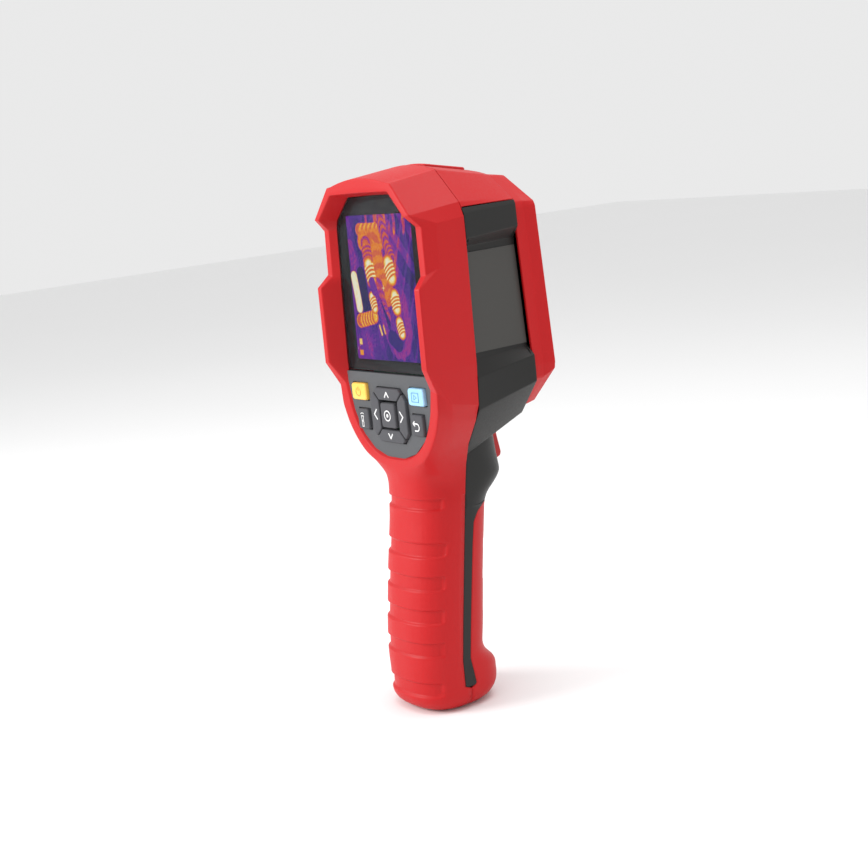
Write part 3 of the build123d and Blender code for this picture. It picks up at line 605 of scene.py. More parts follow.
def line_grid(path, width, face, lift=0.12):
    """A raised printed line: lift times one less the square of the share across its width."""
    path = np.asarray(path, dtype=float)
    marks = np.concatenate([[0], np.cumsum(np.linalg.norm(np.diff(path, axis=0), axis=1))])
    places = np.unique(np.concatenate([marks, np.linspace(0, marks[-1], max(int(marks[-1] / 0.25), 3))]))
    spine = np.stack([np.interp(places, marks, path[:, k]) for k in (0, 1)], axis=-1)
    tangent = np.gradient(spine, axis=0)
    tangent /= np.maximum(np.linalg.norm(tangent, axis=1, keepdims=True), 1e-9)
    side = np.stack([-tangent[:, 1], tangent[:, 0]], axis=-1)
    across = np.linspace(1.0, -1.0, 7)
    flat = spine[:, None] + side[:, None] * across[None, :, None] * width / 2
    depth = np.broadcast_to(face - lift * (1 - across ** 2), flat.shape[:2])
    return np.stack([flat[..., 0], depth, flat[..., 1]], axis=-1)


def arc_path(x, z, radius, start, end, count=24):
    """Points on a circle, in degrees anticlockwise from the right."""
    turn = np.radians(np.linspace(start, end, count))
    return np.column_stack([x + radius * np.cos(turn), z + radius * np.sin(turn)])


def key_marks():
    """Plain signs on the keys, as lines of (path, width) seen from behind."""
    heights = (("power_key", -1.7), ("play_key", -1.7), ("torch_key", -13.7), ("back_key", -13.7))
    (px, pz), (bx, bz), (tx, tz), (rx, rz) = [(sum(SIDE_KEYS[name][:2]) / 2, z) for name, z in heights]
    box = [(bx - 2.3, bz - 1.9), (bx + 2.3, bz - 1.9), (bx + 2.3, bz + 1.9), (bx - 2.3, bz + 1.9)]
    play = [(bx - 0.8, bz - 1.0), (bx + 1.0, bz), (bx - 0.8, bz + 1.0)]
    torch = [(tx - 0.9, tz + 1.4), (tx + 0.9, tz + 1.4), (tx + 0.55, tz + 0.3), (tx + 0.55, tz - 3.2),
             (tx - 0.55, tz - 3.2), (tx - 0.55, tz + 0.3)]
    hook = np.vstack([[(rx - 1.9, rz + 0.9), (rx + 0.4, rz + 0.9)],
                      arc_path(rx + 0.4, rz - 0.6, 1.5, 88, -90)[1:], [(rx - 1.2, rz - 2.1)]])
    barb = [(rx - 0.9, rz + 2.0), (rx - 2.1, rz + 0.9), (rx - 0.9, rz - 0.2)]
    chevron = 0.62
    return {
        "power_key": [(arc_path(px, pz - 0.1, 1.7, 125, 415), 0.42),
                      ([(px, pz + 0.3), (px, pz + 2.1)], 0.42)],
        "play_key": [(box + box[:1], 0.34), (play + play[:1], 0.34)],
        "torch_key": [(torch + torch[:1], 0.36), (arc_path(tx, tz + 1.0, 1.7, 45, 135, 12), 0.36),
                      ([(tx, tz - 0.2), (tx, tz - 1.2)], 0.4)],
        "back_key": [(hook, 0.55), (barb, 0.55)],
        "up_key": [([(-1.5, NAV_Z + 7.7), (0, NAV_Z + 10.0), (1.5, NAV_Z + 7.7)], chevron)],
        "down_key": [([(-1.5, NAV_Z - 7.7), (0, NAV_Z - 10.0), (1.5, NAV_Z - 7.7)], chevron)],
        "left_key": [([(-8.3, NAV_Z + 2.3), (-10.3, NAV_Z), (-8.3, NAV_Z - 2.3)], chevron)],
        "right_key": [([(8.3, NAV_Z + 2.3), (10.3, NAV_Z), (8.3, NAV_Z - 2.3)], chevron)],
        "set_key": [(arc_path(0, NAV_Z, 2.1, 0, 360, 40), 0.55),
                    (arc_path(0, NAV_Z, 0.45, 0, 360, 16), 0.6)],
    }


def key_outlines():
    """Corners of every key, anticlockwise seen from behind, with its round, edge and bow."""
    outlines = {}
    for name, (x0, x1, z0, z1) in SIDE_KEYS.items():
        outlines[name] = ([(x0, z0), (x1, z0), (x1, z1), (x0, z1)], 1.5, 0.75, 0.28)
    gap, lean, inner_x = 0.3, 0.96, SET_HALF + 0.95
    cut_x = NAV_HALF - NAV_CORNER
    edge_x = (NAV_HALF + NAV_TALL - NAV_CORNER) / (1 + lean)
    near, far, cut_z = inner_x * lean, edge_x * lean, NAV_TALL - NAV_CORNER
    up = [(-inner_x, near + gap), (inner_x, near + gap), (edge_x - gap, far + gap),
          (cut_x, NAV_TALL), (-cut_x, NAV_TALL), (gap - edge_x, far + gap)]
    right = [(inner_x + gap, -near), (edge_x + gap, -far), (NAV_HALF, -cut_z),
             (NAV_HALF, cut_z), (edge_x + gap, far), (inner_x + gap, near)]
    arrow = (0.5, 0.55, 0.12)
    outlines["up_key"] = ([(x, NAV_Z + z) for x, z in up], *arrow)
    outlines["down_key"] = ([(x, NAV_Z - z) for x, z in reversed(up)], *arrow)
    outlines["right_key"] = ([(x, NAV_Z + z) for x, z in right], *arrow)
    outlines["left_key"] = ([(-x, NAV_Z + z) for x, z in reversed(right)], *arrow)
    wide, tall = SET_HALF - 0.25, SET_TALL - 0.25
    box = [(-wide, -tall), (wide, -tall), (wide, tall), (-wide, tall)]
    outlines["set_key"] = ([(x, NAV_Z + z) for x, z in box], 1.3, 0.8, 0.2)
    return outlines


def build_key(name, finish, print_finish):
    """One key: a rounded button with its sign as raised lines on the face."""
    corners, radius, edge, dome = key_outlines()[name]
    face = KEY_FACE - (0.5 if name == "set_key" else 0.0)
    ring = rounded_ring(np.array(corners), radius)
    grids = [cap_grid(ring, face, KEY_SKIRT, edge, dome)]
    lines = key_marks()[name]
    grids += [line_grid(path, width, face - dome - 0.01) for path, width in lines]
    shades = [0] + [1] * len(lines)
    return join_grids(name + "_cap", grids, {0}, (), SMALL_WELD, shades, [finish, print_finish])


def stroke_heat(u, w, path, width):
    """Share from 0 to 1 of how near a spot is to a path, and how far along the path it lies."""
    path = np.array(path, dtype=float)
    starts, runs = path[:-1], np.diff(path, axis=0)
    spot = np.stack([u, w], axis=-1)[..., None, :] - starts
    share = np.clip((spot * runs).sum(-1) / (runs ** 2).sum(-1), 0, 1)
    away = np.linalg.norm((spot - share[..., None] * runs) * np.array([0.75, 1.0]), axis=-1)
    nearest = away.argmin(axis=-1)[..., None]
    distance = np.take_along_axis(away, nearest, -1)[..., 0]
    placed = (np.take_along_axis(share, nearest, -1) + nearest)[..., 0] / len(runs)
    return 1 - ramp(distance, width * 0.82, width), placed - 0.16 * (distance / width) ** 2


def heat_field(u, w):
    """Warmth of the picture: soft waves, a hot frame, hanging cables and ringed insulators.

    The waves are sums of sines; each cable or insulator is the nearness to a path, and the
    rings are a cosine of the distance along it.
    """
    warmth = 0.20 + 0.05 * np.sin(9 * u + 3 * w) + 0.05 * np.sin(13 * w - 4 * u + 1)
    warmth += 0.07 * (np.sin(31 * u + 2 * np.sin(7 * w)) > 0.55)
    slats = ramp(u, 0.55, 0.7) * ramp(w, 0.45, 0.6)
    warmth += slats * 0.13 * (np.sin(26 * (w + 0.9 * u)) > 0.35)
    warmth -= 0.08 * ramp(u, 0.7, 0.95)
    warmth += 0.30 * ramp(np.sin(44 * u + 6 * np.sin(5 * w)) * ramp(w, 0.80, 0.90), 0.4, 0.8) * (u > 0.3)
    warmth += 0.12 * ramp(np.sin(37 * (u - 0.5 * w)), 0.75, 0.95) * ramp(u, 0.45, 0.6)

    def lay(path, width, heat):
        nonlocal warmth
        near, place = stroke_heat(u, w, path, width)
        value = heat(place) if callable(heat) else heat
        warmth = warmth * (1 - near) + value * near

    def rings(place):
        return 0.76 + 0.22 * np.cos(2 * np.pi * 4.0 * place)

    lay([(0.02, 0.80), (0.12, 0.55)], 0.045, 0.34)
    lay([(0.05, 0.58), (0.09, 0.42), (0.10, 0.36)], 0.040, 0.97)
    lay([(0.16, 0.60), (0.22, 0.36)], 0.050, 0.04)
    lay([(0.10, 0.27), (0.32, 0.30)], 0.055, lambda t: 0.66 + 0.14 * np.sin(34 * t))
    lay([(0.20, 0.90), (0.50, 0.90)], 0.050, lambda t: 0.66 + 0.10 * np.sin(30 * t))
    lay([(0.26, 0.82), (0.48, 0.83)], 0.085, 0.64)
    lay([(0.38, 0.80), (0.44, 0.62), (0.54, 0.46)], 0.100, lambda t: 0.62 + 0.05 * np.sin(26 * t))
    lay([(0.42, 0.52), (0.46, 0.38), (0.50, 0.30)], 0.060, lambda t: 0.46 + 0.06 * np.sin(30 * t))
    lay([(0.28, 0.80), (0.30, 0.66)], 0.062, lambda t: 0.52 + 0.10 * np.cos(30 * t))
    lay([(0.53, 0.98), (0.60, 0.80), (0.66, 0.70)], 0.050, lambda t: 0.48 + 0.12 * np.sin(44 * t))
    lay([(0.36, 0.44), (0.50, 0.26)], 0.050, 0.10)
    lay([(0.34, 0.53), (0.40, 0.40), (0.50, 0.20), (0.58, 0.08), (0.72, 0.04)], 0.034, 0.34)
    lay([(0.66, 0.57), (0.78, 0.44), (0.84, 0.20), (0.78, 0.08), (0.64, 0.05)], 0.040, 0.36)
    lay([(0.70, 0.36), (0.74, 0.24)], 0.044, 0.33)
    lay([(0.58, 0.16), (0.66, 0.12)], 0.060, 0.14)
    lay([(0.66, 0.58), (0.72, 0.50)], 0.048, 0.28)
    lay([(0.30, 0.66), (0.33, 0.55)], 0.062, rings)
    lay([(0.60, 0.67), (0.64, 0.57)], 0.066, rings)
    lay([(0.66, 0.45), (0.68, 0.36)], 0.056, rings)
    lay([(0.70, 0.27), (0.73, 0.19)], 0.046, rings)
    lay([(0.31, 0.44), (0.34, 0.36)], 0.044, rings)
    lay([(0.33, 0.54), (0.36, 0.48)], 0.040, 0.32)
    lay([(0.39, 0.24), (0.42, 0.18)], 0.010, 0.85)
    lay([(0.45, 0.24), (0.47, 0.19)], 0.008, 0.80)
    warmth += 0.035 * np.sin(90 * u + 5 * np.sin(23 * w)) * np.sin(70 * w + 4 * np.sin(19 * u))
    contour = np.abs(((warmth * 11) % 1.0) - 0.5)
    warmth += 0.09 * ramp(contour, 0.38, 0.48)
    cross = (np.abs(u - 0.5) < 0.004) & (np.abs(w - 0.5) < 0.020)
    cross |= (np.abs(w - 0.5) < 0.003) & (np.abs(u - 0.5) < 0.026)
    scale = (np.abs(u - 0.07) < 0.022) & (w > 0.10) & (w < 0.145)
    badge = (np.abs(u - 0.07) < 0.030) & (np.abs(w - 0.045) < 0.018)
    return np.where(cross, 1.0, np.where(scale, 0.86, np.where(badge, 0.72, np.clip(warmth, 0.02, 0.98))))


SCREEN_HALF, SCREEN_LOW, SCREEN_HIGH = 23.4, 12.0, 73.4
SCREEN_HINGE = (-18.1, 73.1)
SCREEN_TILT = math.radians(1.86)


def lean_back(points):
    """Turn about the top edge of the window by the lean of the screen."""
    hinge_y, hinge_z = SCREEN_HINGE
    y, z = points[..., 1] - hinge_y, points[..., 2] - hinge_z
    c, s = math.cos(SCREEN_TILT), math.sin(SCREEN_TILT)
    return np.stack([points[..., 0], hinge_y + c * y + s * z, hinge_z - s * y + c * z], axis=-1)


def build_display():
    """The lit picture as a fine flat grid that carries its warmth at every point."""
    columns, rows = 181, 241
    u, w = np.meshgrid(np.linspace(0, 1, columns), np.linspace(0, 1, rows))
    x = (2 * u - 1) * SCREEN_HALF
    z = SCREEN_LOW + (SCREEN_HIGH - SCREEN_LOW) * w
    sheet = lean_back(np.stack([x, np.full_like(x, -16.75), z], axis=-1))
    piece = mesh_object("display_picture", sheet.reshape(-1, 3), grid_faces(rows, columns))
    store = piece.data.attributes.new("warmth", "FLOAT", "POINT")
    store.data.foreach_set("value", heat_field(u, w).ravel().astype(np.float32))
    return piece


def glass_ring():
    """Half outline of the window, carried round to the whole."""
    half = [(0, 7.4), (29.3, 7.4), (30.2, 11.3), (30.1, 43.5), (29.9, 48.0), (29.6, 67.8), (28.4, 72.2),
            (18.9, 81.6), (0, 81.8)]
    left = [(-x, z) for x, z in half[-2:0:-1]]
    return rounded_ring(np.array(half + left), 0.6, 1.5)


def build_window():
    """The window: a thin polished sheet with an eased edge."""
    grid = cap_grid(glass_ring(), -18.15, -17.0, 0.15, 0.0)
    return closed_piece("window_glass_sheet", lean_back(grid))


def build_surround():
    """The black print round the picture: a flat ring from the window's outline to the picture."""
    outer = glass_ring()
    high, low = SCREEN_HIGH - 0.1, SCREEN_LOW + 0.1
    middle = np.array([0.0, (high + low) / 2])
    spoke = outer - middle
    half = np.array([SCREEN_HALF - 0.1, (high - low) / 2])
    inner = middle + spoke / np.abs(spoke / half).max(axis=1, keepdims=True)
    face, lip = -16.92, -16.6
    layers = [(outer, face), ((outer + inner) / 2, face), (inner, face), (inner, lip)]
    grid = np.array([np.column_stack([flat[:, 0], np.full(len(flat), y), flat[:, 1]]) for flat, y in layers])
    return closed_piece("window_print", lean_back(grid))


# ---- lid, trigger and optics ---------------------------------------------------------
LID_LIFT = 1.15


def build_port_cover():
    """The lid over the sockets: a rounded oblong bowed like the roof, with a pull at its back."""
    ring = rounded_ring(np.array([(-8.9, 4.3), (8.9, 4.3), (8.9, 25.4), (-8.9, 25.4)]), 1.6)
    grid = cap_grid(ring, 0.0, 2.2, 0.7, 0.0)
    x, up, y = grid[..., 0], -grid[..., 1], grid[..., 2]
    ridges = 0.22 * ramp(np.cos(2 * np.pi * (y - 6.0) / 1.6), 0.0, 1.0) * (np.abs(y - 8.0) < 2.6)
    ridges *= 1 - ramp(np.abs(x), 5.0, 6.0)
    placed = np.stack([x, y, bowed_roof(x, y) + LID_LIFT + up + ridges * (up > -0.05)], axis=-1)
    return closed_piece("port_cover_lid", placed, (0,))


TRIGGER_SIDE = [
    (19.0, -25.4), (19.0, -29.4), (21.4, -29.9), (23.2, -31.6), (24.9, -35.6), (27.4, -38.6), (29.4, -39.6),
    (31.4, -38.9), (32.1, -37.2), (30.9, -31.0), (30.1, -26.2), (26.5, -25.1),
]


def build_trigger():
    """The trigger: its side outline carried across the width, drawn in round both edges."""
    ring = rounded_ring(np.array(TRIGGER_SIDE), 0.7, 0.6)
    half, edge = 5.15, 0.9
    turn = np.linspace(0.0, np.pi / 2, 6)
    middle = ring.mean(axis=0)
    inwards = inward_sides(ring)
    layers = [(middle + (ring + inwards * edge - middle) * share, half) for share in (0.0, 0.4, 0.8)]
    layers += [(ring + inwards * edge * (1 - math.sin(t)), half - edge * (1 - math.cos(t))) for t in turn]
    layers += [(ring, 2.0), (ring, 0.0)]
    whole = layers + [(flat, -x) for flat, x in reversed(layers[:-1])]
    grid = np.array([np.column_stack([np.full(len(flat), x), flat[:, 0], flat[:, 1]]) for flat, x in whole])
    piece = closed_piece("trigger_lever", grid)
    face_outwards(piece)
    return piece


def face_outwards(piece):
    """Turn every face of a closed piece to look outwards."""
    work = bmesh.new()
    work.from_mesh(piece.data)
    bmesh.ops.recalc_face_normals(work, faces=work.faces)
    work.to_mesh(piece.data)
    work.free()


def turned(name, profile, x, z, turns=72):
    """A turned piece: a closed profile of (radius, depth) carried round a forward axis."""
    profile = np.array(profile, dtype=float)
    turn = np.linspace(0, 2 * np.pi, turns, endpoint=False)
    radius, depth = profile[:, :1], profile[:, 1:]
    grid = np.stack([x + radius * np.cos(turn), depth + 0 * turn, z + radius * np.sin(turn)], axis=-1)
    piece = closed_piece(name, grid)
    face_outwards(piece)
    return piece


def dome_profile(radius, edge, rise, back, count=14):
    """Profile of a lens: flat back, short edge and a front that falls with the square of the radius."""
    spots = np.linspace(radius, 0.0, count)
    front = np.column_stack([spots, edge + rise * (1 - (spots / radius) ** 2)])
    return np.vstack([[(0.0, back), (radius, back), (radius, edge)], front[1:]])


LENS_Z, CAMERA_Z, TORCH_Z = 46.0, 70.0, 16.0


def build_barrel():
    """The lens barrel: a turned tube with a stepped, grooved mouth."""
    mouth = [(8.7, 29.2), (12.3, 29.2), (12.3, 44.4), (12.1, 44.9), (11.6, 45.0), (11.2, 44.8), (11.0, 44.2),
             (10.8, 44.2), (10.7, 43.6), (10.5, 43.6), (10.4, 43.0), (10.2, 43.0), (10.1, 42.2), (9.95, 42.1),
             (9.95, 37.2), (8.7, 37.0), (8.7, 29.2)]
    return turned("lens_barrel_tube", mouth, 0.0, LENS_Z, 96)


def build_lens_ring():
    """The ring round the barrel: a turned band with a rounded shoulder."""
    band = [(12.65, 42.65), (14.4, 42.65), (14.4, 43.3), (14.2, 43.7), (13.8, 43.8), (13.0, 43.8),
            (12.65, 43.5), (12.65, 42.65)]
    return turned("lens_ring_band", band, 0.0, LENS_Z, 96)


# ---- finishes ------------------------------------------------------------------------
def finish(name, colour, rough, speck=0.0, speck_scale=900.0, bump=0.0, bump_scale=1400.0, metal=0.0,
           specular=0.5, coat=0.0, coat_rough=0.1):
    """A shader whose colour and roughness drift a little and whose surface has a fine grain."""
    material = bpy.data.materials.new(name)
    material.use_nodes = True
    nodes, links = material.node_tree.nodes, material.node_tree.links
    shader = nodes["Principled BSDF"]
    shader.inputs["Metallic"].default_value = metal
    shader.inputs["Specular IOR Level"].default_value = specular
    shader.inputs["Coat Weight"].default_value = coat
    shader.inputs["Coat Roughness"].default_value = coat_rough
    place = nodes.new("ShaderNodeTexCoord")
    cloud = nodes.new("ShaderNodeTexNoise")
    cloud.inputs["Scale"].default_value = speck_scale
    cloud.inputs["Detail"].default_value = 3.0
    links.new(place.outputs["Object"], cloud.inputs["Vector"])
    tint = nodes.new("ShaderNodeMix")
    tint.data_type = "RGBA"
    tint.inputs["A"].default_value = (*[c * (1 - speck) for c in colour], 1)
    tint.inputs["B"].default_value = (*[min(c * (1 + speck), 1) for c in colour], 1)
    links.new(cloud.outputs["Fac"], tint.inputs["Factor"])
    links.new(tint.outputs["Result"], shader.inputs["Base Color"])
    spread = nodes.new("ShaderNodeMapRange")
    spread.inputs["From Min"].default_value = 0.3
    spread.inputs["From Max"].default_value = 0.7
    spread.inputs["To Min"].default_value = max(rough - 0.05, 0.02)
    spread.inputs["To Max"].default_value = min(rough + 0.05, 1.0)
    links.new(cloud.outputs["Fac"], spread.inputs["Value"])
    links.new(spread.outputs["Result"], shader.inputs["Roughness"])
    if bump:
        grain = nodes.new("ShaderNodeTexNoise")
        grain.inputs["Scale"].default_value = bump_scale
        grain.inputs["Detail"].default_value = 2.0
        links.new(place.outputs["Object"], grain.inputs["Vector"])
        height = nodes.new("ShaderNodeBump")
        height.inputs["Strength"].default_value = bump
        height.inputs["Distance"].default_value = 0.0001
        links.new(grain.outputs["Fac"], height.inputs["Height"])
        links.new(height.outputs["Normal"], shader.inputs["Normal"])
    return material


def picture_finish():
    """The lit picture: its warmth runs through deep blue, violet, orange and yellow to white."""
    material = bpy.data.materials.new("lit_picture")
    material.use_nodes = True
    nodes, links = material.node_tree.nodes, material.node_tree.links
    shader = nodes["Principled BSDF"]
    warmth = nodes.new("ShaderNodeAttribute")
    warmth.attribute_name = "warmth"
    scale = nodes.new("ShaderNodeValToRGB")
    steps = [(0.0, (0.004, 0.002, 0.06)), (0.16, (0.03, 0.004, 0.22)), (0.30, (0.14, 0.008, 0.36)),
             (0.42, (0.36, 0.012, 0.30)), (0.54, (0.66, 0.06, 0.06)), (0.66, (0.90, 0.22, 0.008)),
             (0.80, (1.0, 0.55, 0.03)), (0.92, (1.0, 0.88, 0.36)), (1.0, (1.0, 1.0, 0.9))]
    for spot, colour in steps[1:-1]:
        scale.color_ramp.elements.new(spot).color = (*colour, 1)
    scale.color_ramp.elements[0].color = (*steps[0][1], 1)
    scale.color_ramp.elements[-1].color = (*steps[-1][1], 1)
    links.new(warmth.outputs["Fac"], scale.inputs["Fac"])
    links.new(scale.outputs["Color"], shader.inputs["Emission Color"])
    shader.inputs["Base Color"].default_value = (0.004, 0.004, 0.005, 1)
    shader.inputs["Emission Strength"].default_value = 1.25
    shader.inputs["Specular IOR Level"].default_value = 0.1
    shader.inputs["Roughness"].default_value = 0.6
    return material


def glass_finish(name, tint, rough=0.03):
    """Thin polished glass: clear straight through, with a gloss that grows towards the edge."""
    material = bpy.data.materials.new(name)
    material.use_nodes = True
    nodes, links = material.node_tree.nodes, material.node_tree.links
    clear = nodes.new("ShaderNodeBsdfTransparent")
    clear.inputs["Color"].default_value = (*tint, 1)
    gloss = nodes.new("ShaderNodeBsdfGlossy")
    gloss.inputs["Roughness"].default_value = rough
    facing = nodes.new("ShaderNodeFresnel")
    facing.inputs["IOR"].default_value = 1.45
    blend = nodes.new("ShaderNodeMixShader")
    links.new(facing.outputs["Fac"], blend.inputs["Fac"])
    links.new(clear.outputs["BSDF"], blend.inputs[1])
    links.new(gloss.outputs["BSDF"], blend.inputs[2])
    links.new(blend.outputs["Shader"], nodes["Material Output"].inputs["Surface"])
    return material


def dress(piece, material, body, nodes):
    """Give a piece its finish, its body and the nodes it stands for."""
    if material is not None:
        piece.data.materials.clear()
        piece.data.materials.append(material)
    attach(piece, body)
    if nodes:
        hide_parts(*nodes)


def paint_node(node, material):
    """Give a CAD node a finish without touching its mesh."""
    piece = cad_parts[node]
    if piece.material_slots:
        for spot in piece.material_slots:
            spot.link = "OBJECT"
            spot.material = material
    else:
        piece.data.materials.append(material)


# ---- the panel's choices, the operators and the stage ---------------------------------
def colour_choice(name, description, default):
    """A colour that the sidebar offers."""
    return bpy.props.FloatVectorProperty(name=name, description=description, default=default, size=3,
                                         min=0.0, max=1.0, subtype="COLOR")


class CameraFinishes(bpy.types.PropertyGroup):
    """Colours of the mouldings and keys."""
    red: colour_choice("Overmould red", "Soft red of the shells", (0.50, 0.006, 0.008))
    black: colour_choice("Housing black", "Black of the frame between the shells", (0.013, 0.0128, 0.012))
    label: colour_choice("Label charcoal", "Satin plates on the flanks", (0.050, 0.048, 0.044))
    panel: colour_choice("Panel grey", "Keypad panel", (0.075, 0.078, 0.084))
    key: colour_choice("Key grey", "Grey keys", (0.062, 0.063, 0.066))
    power: colour_choice("Power yellow", "Power key", (0.86, 0.48, 0.055))
    play: colour_choice("Gallery blue", "Light blue key", (0.30, 0.60, 0.83))
    sign: colour_choice("Sign white", "Printed signs on the grey keys", (0.80, 0.80, 0.80))


class CameraSizes(bpy.types.PropertyGroup):
    """Wall thicknesses of the mouldings."""
    cover_wall: bpy.props.FloatProperty(
        name="Cover wall", description="Wall of the two grip covers, in millimetres",
        default=1.6, min=0.8, max=2.4)
    frame_wall: bpy.props.FloatProperty(
        name="Frame wall", description="Wall of the frame and bumper, in millimetres",
        default=1.4, min=0.8, max=2.4)
    lamp_power: bpy.props.FloatProperty(name="Lamp power", description="Power of the main lamp", default=7.0,
                                        min=0.0, unit="POWER")


def make_finishes():
    """Every finish of the object by name, made once."""
    choice = bpy.context.scene.camera_finishes
    recipes = {
        "soft_red": dict(colour=choice.red, rough=0.46, speck=0.05, bump=0.30, bump_scale=2600.0,
                         specular=0.28),
        "lever_red": dict(colour=[c * 0.9 for c in choice.red], rough=0.36, speck=0.04, bump=0.2,
                          specular=0.45),
        "frame_black": dict(colour=choice.black, rough=0.42, speck=0.12, bump=0.35, bump_scale=3200.0,
                            specular=0.32),
        "label_charcoal": dict(colour=choice.label, rough=0.38, speck=0.05, specular=0.45),
        "panel_grey": dict(colour=choice.panel, rough=0.52, speck=0.22, speck_scale=2600.0, bump=0.6,
                           bump_scale=2400.0, specular=0.4),
        "key_grey": dict(colour=choice.key, rough=0.50, speck=0.08, bump=0.2, bump_scale=3000.0),
        "key_yellow": dict(colour=choice.power, rough=0.34, speck=0.03, bump=0.1, coat=0.15),
        "key_blue": dict(colour=choice.play, rough=0.34, speck=0.03, bump=0.1, coat=0.15),
        "sign_white": dict(colour=choice.sign, rough=0.45, speck=0.03),
        "sign_gold": dict(colour=(0.66, 0.34, 0.04), rough=0.45, speck=0.03),
        "sign_navy": dict(colour=(0.14, 0.36, 0.60), rough=0.45, speck=0.03),
        "screen_print": dict(colour=(0.006, 0.006, 0.007), rough=0.35, speck=0.05, specular=0.12),
        "anodised": dict(colour=(0.022, 0.022, 0.024), rough=0.34, speck=0.10, metal=0.6),
        "germanium": dict(colour=(0.16, 0.13, 0.17), rough=0.10, speck=0.05, speck_scale=120.0, metal=1.0,
                          coat=0.4),
        "component_black": dict(colour=(0.020, 0.020, 0.022), rough=0.4, speck=0.1),
        "diode": dict(colour=(0.85, 0.80, 0.48), rough=0.4, speck=0.05),
        "bright_bowl": dict(colour=(0.80, 0.80, 0.82), rough=0.12, speck=0.02, metal=1.0),
        "milled": dict(colour=(0.60, 0.61, 0.63), rough=0.35, speck=0.05, metal=1.0),
        "tinned": dict(colour=(0.58, 0.58, 0.60), rough=0.30, speck=0.06, metal=1.0),
        "black_oxide": dict(colour=(0.030, 0.030, 0.032), rough=0.35, speck=0.1, metal=0.7),
        "board": dict(colour=(0.02, 0.12, 0.05), rough=0.35, speck=0.1, coat=0.3),
        "cell_wrap": dict(colour=(0.07, 0.17, 0.36), rough=0.35, speck=0.05, coat=0.2),
        "nickel": dict(colour=(0.66, 0.63, 0.57), rough=0.22, speck=0.03, metal=1.0),
        "brass": dict(colour=(0.70, 0.48, 0.20), rough=0.28, speck=0.05, metal=1.0),
    }
    for name, recipe in recipes.items():
        finish(name, **recipe)
    glass_finish("window_glass", (0.94, 0.95, 0.97))
    glass_finish("lens_glass", (0.86, 0.89, 0.93))
    picture_finish()


def held(name):
    """A finish that has already been made."""
    return bpy.data.materials[name]


class CAMERA_OT_finishes(bpy.types.Operator):
    """Make the finishes and give them to the CAD pieces that stay"""
    bl_idname = "camera_looks.finishes"
    bl_label = "Finishes"

    def execute(self, context):
        make_finishes()
        by_finish = {
            "frame_black": ["front_plate", "trigger_bracket", "battery_cradle"],
            "label_charcoal": ["label_plate_right", "label_plate_left"],
            "panel_grey": ["keypad_panel"],
            "component_black": ["camera_module", "detector", "tact_switches", "buzzer", "memory_card",
                                "trigger_switch", "lcd_module"],
            "diode": ["torch_led"],
            "bright_bowl": ["torch_reflector"],
            "milled": ["thermal_core", "heat_spreader"],
            "tinned": ["shutter_motor", "processor_shield", "board_screws", "usb_connector", "card_socket",
                       "trigger_pin"],
            "black_oxide": ["front_screws", "shutter_flag"],
            "board": ["main_board", "key_board", "port_board"],
            "cell_wrap": ["battery_cell"],
            "nickel": ["battery_contacts"],
        }
        for name, nodes in by_finish.items():
            for node in nodes:
                paint_node(node, held(name))
        return {"FINISHED"}


class CAMERA_OT_rear_cover(bpy.types.Operator):
    """Make the hood and the rear half of the grip"""
    bl_idname = "camera_looks.rear_cover"
    bl_label = "Rear cover"

    def execute(self, context):
        dress(build_rear_cover(), held("soft_red"), "housing", ["rear_cover"])
        return {"FINISHED"}


class CAMERA_OT_front_grip(bpy.types.Operator):
    """Make the front half of the grip"""
    bl_idname = "camera_looks.front_grip"
    bl_label = "Front grip"

    def execute(self, context):
        dress(build_front_grip(), held("soft_red"), "housing", ["front_grip"])
        return {"FINISHED"}


class CAMERA_OT_mid_housing(bpy.types.Operator):
    """Make the black frame between the shells"""
    bl_idname = "camera_looks.mid_housing"
    bl_label = "Mid housing"

    def execute(self, context):
        dress(build_mid_housing(), held("frame_black"), "housing", ["mid_housing"])
        return {"FINISHED"}


class CAMERA_OT_top_band(bpy.types.Operator):
    """Make the red band across the top"""
    bl_idname = "camera_looks.top_band"
    bl_label = "Top band"

    def execute(self, context):
        dress(build_top_band(), held("soft_red"), "housing", ["top_band"])
        return {"FINISHED"}


class CAMERA_OT_bumper(bpy.types.Operator):
    """Make the flared frame round the front"""
    bl_idname = "camera_looks.bumper"
    bl_label = "Front bumper"

    def execute(self, context):
        dress(build_bumper(), held("soft_red"), "housing", ["front_bumper"])
        return {"FINISHED"}


class CAMERA_OT_keys(bpy.types.Operator):
    """Make the nine keys with their signs"""
    bl_idname = "camera_looks.keys"
    bl_label = "Keys"

    def execute(self, context):
        looks = {"power_key": ("key_yellow", "sign_gold"), "play_key": ("key_blue", "sign_navy")}
        for name in key_outlines():
            body, sign = looks.get(name, ("key_grey", "sign_white"))
            dress(build_key(name, held(body), held(sign)), None, name, [name])
        return {"FINISHED"}


class CAMERA_OT_display(bpy.types.Operator):
    """Make the lit picture, the black print round it and the window"""
    bl_idname = "camera_looks.display"
    bl_label = "Display"

    def execute(self, context):
        dress(build_display(), held("lit_picture"), "housing", [])
        dress(build_surround(), held("screen_print"), "housing", [])
        dress(build_window(), held("window_glass"), "housing", ["display_window"])
        return {"FINISHED"}


class CAMERA_OT_port_cover(bpy.types.Operator):
    """Make the lid over the sockets"""
    bl_idname = "camera_looks.port_cover"
    bl_label = "Port cover"

    def execute(self, context):
        dress(build_port_cover(), held("soft_red"), "port_cover", ["port_cover"])
        return {"FINISHED"}


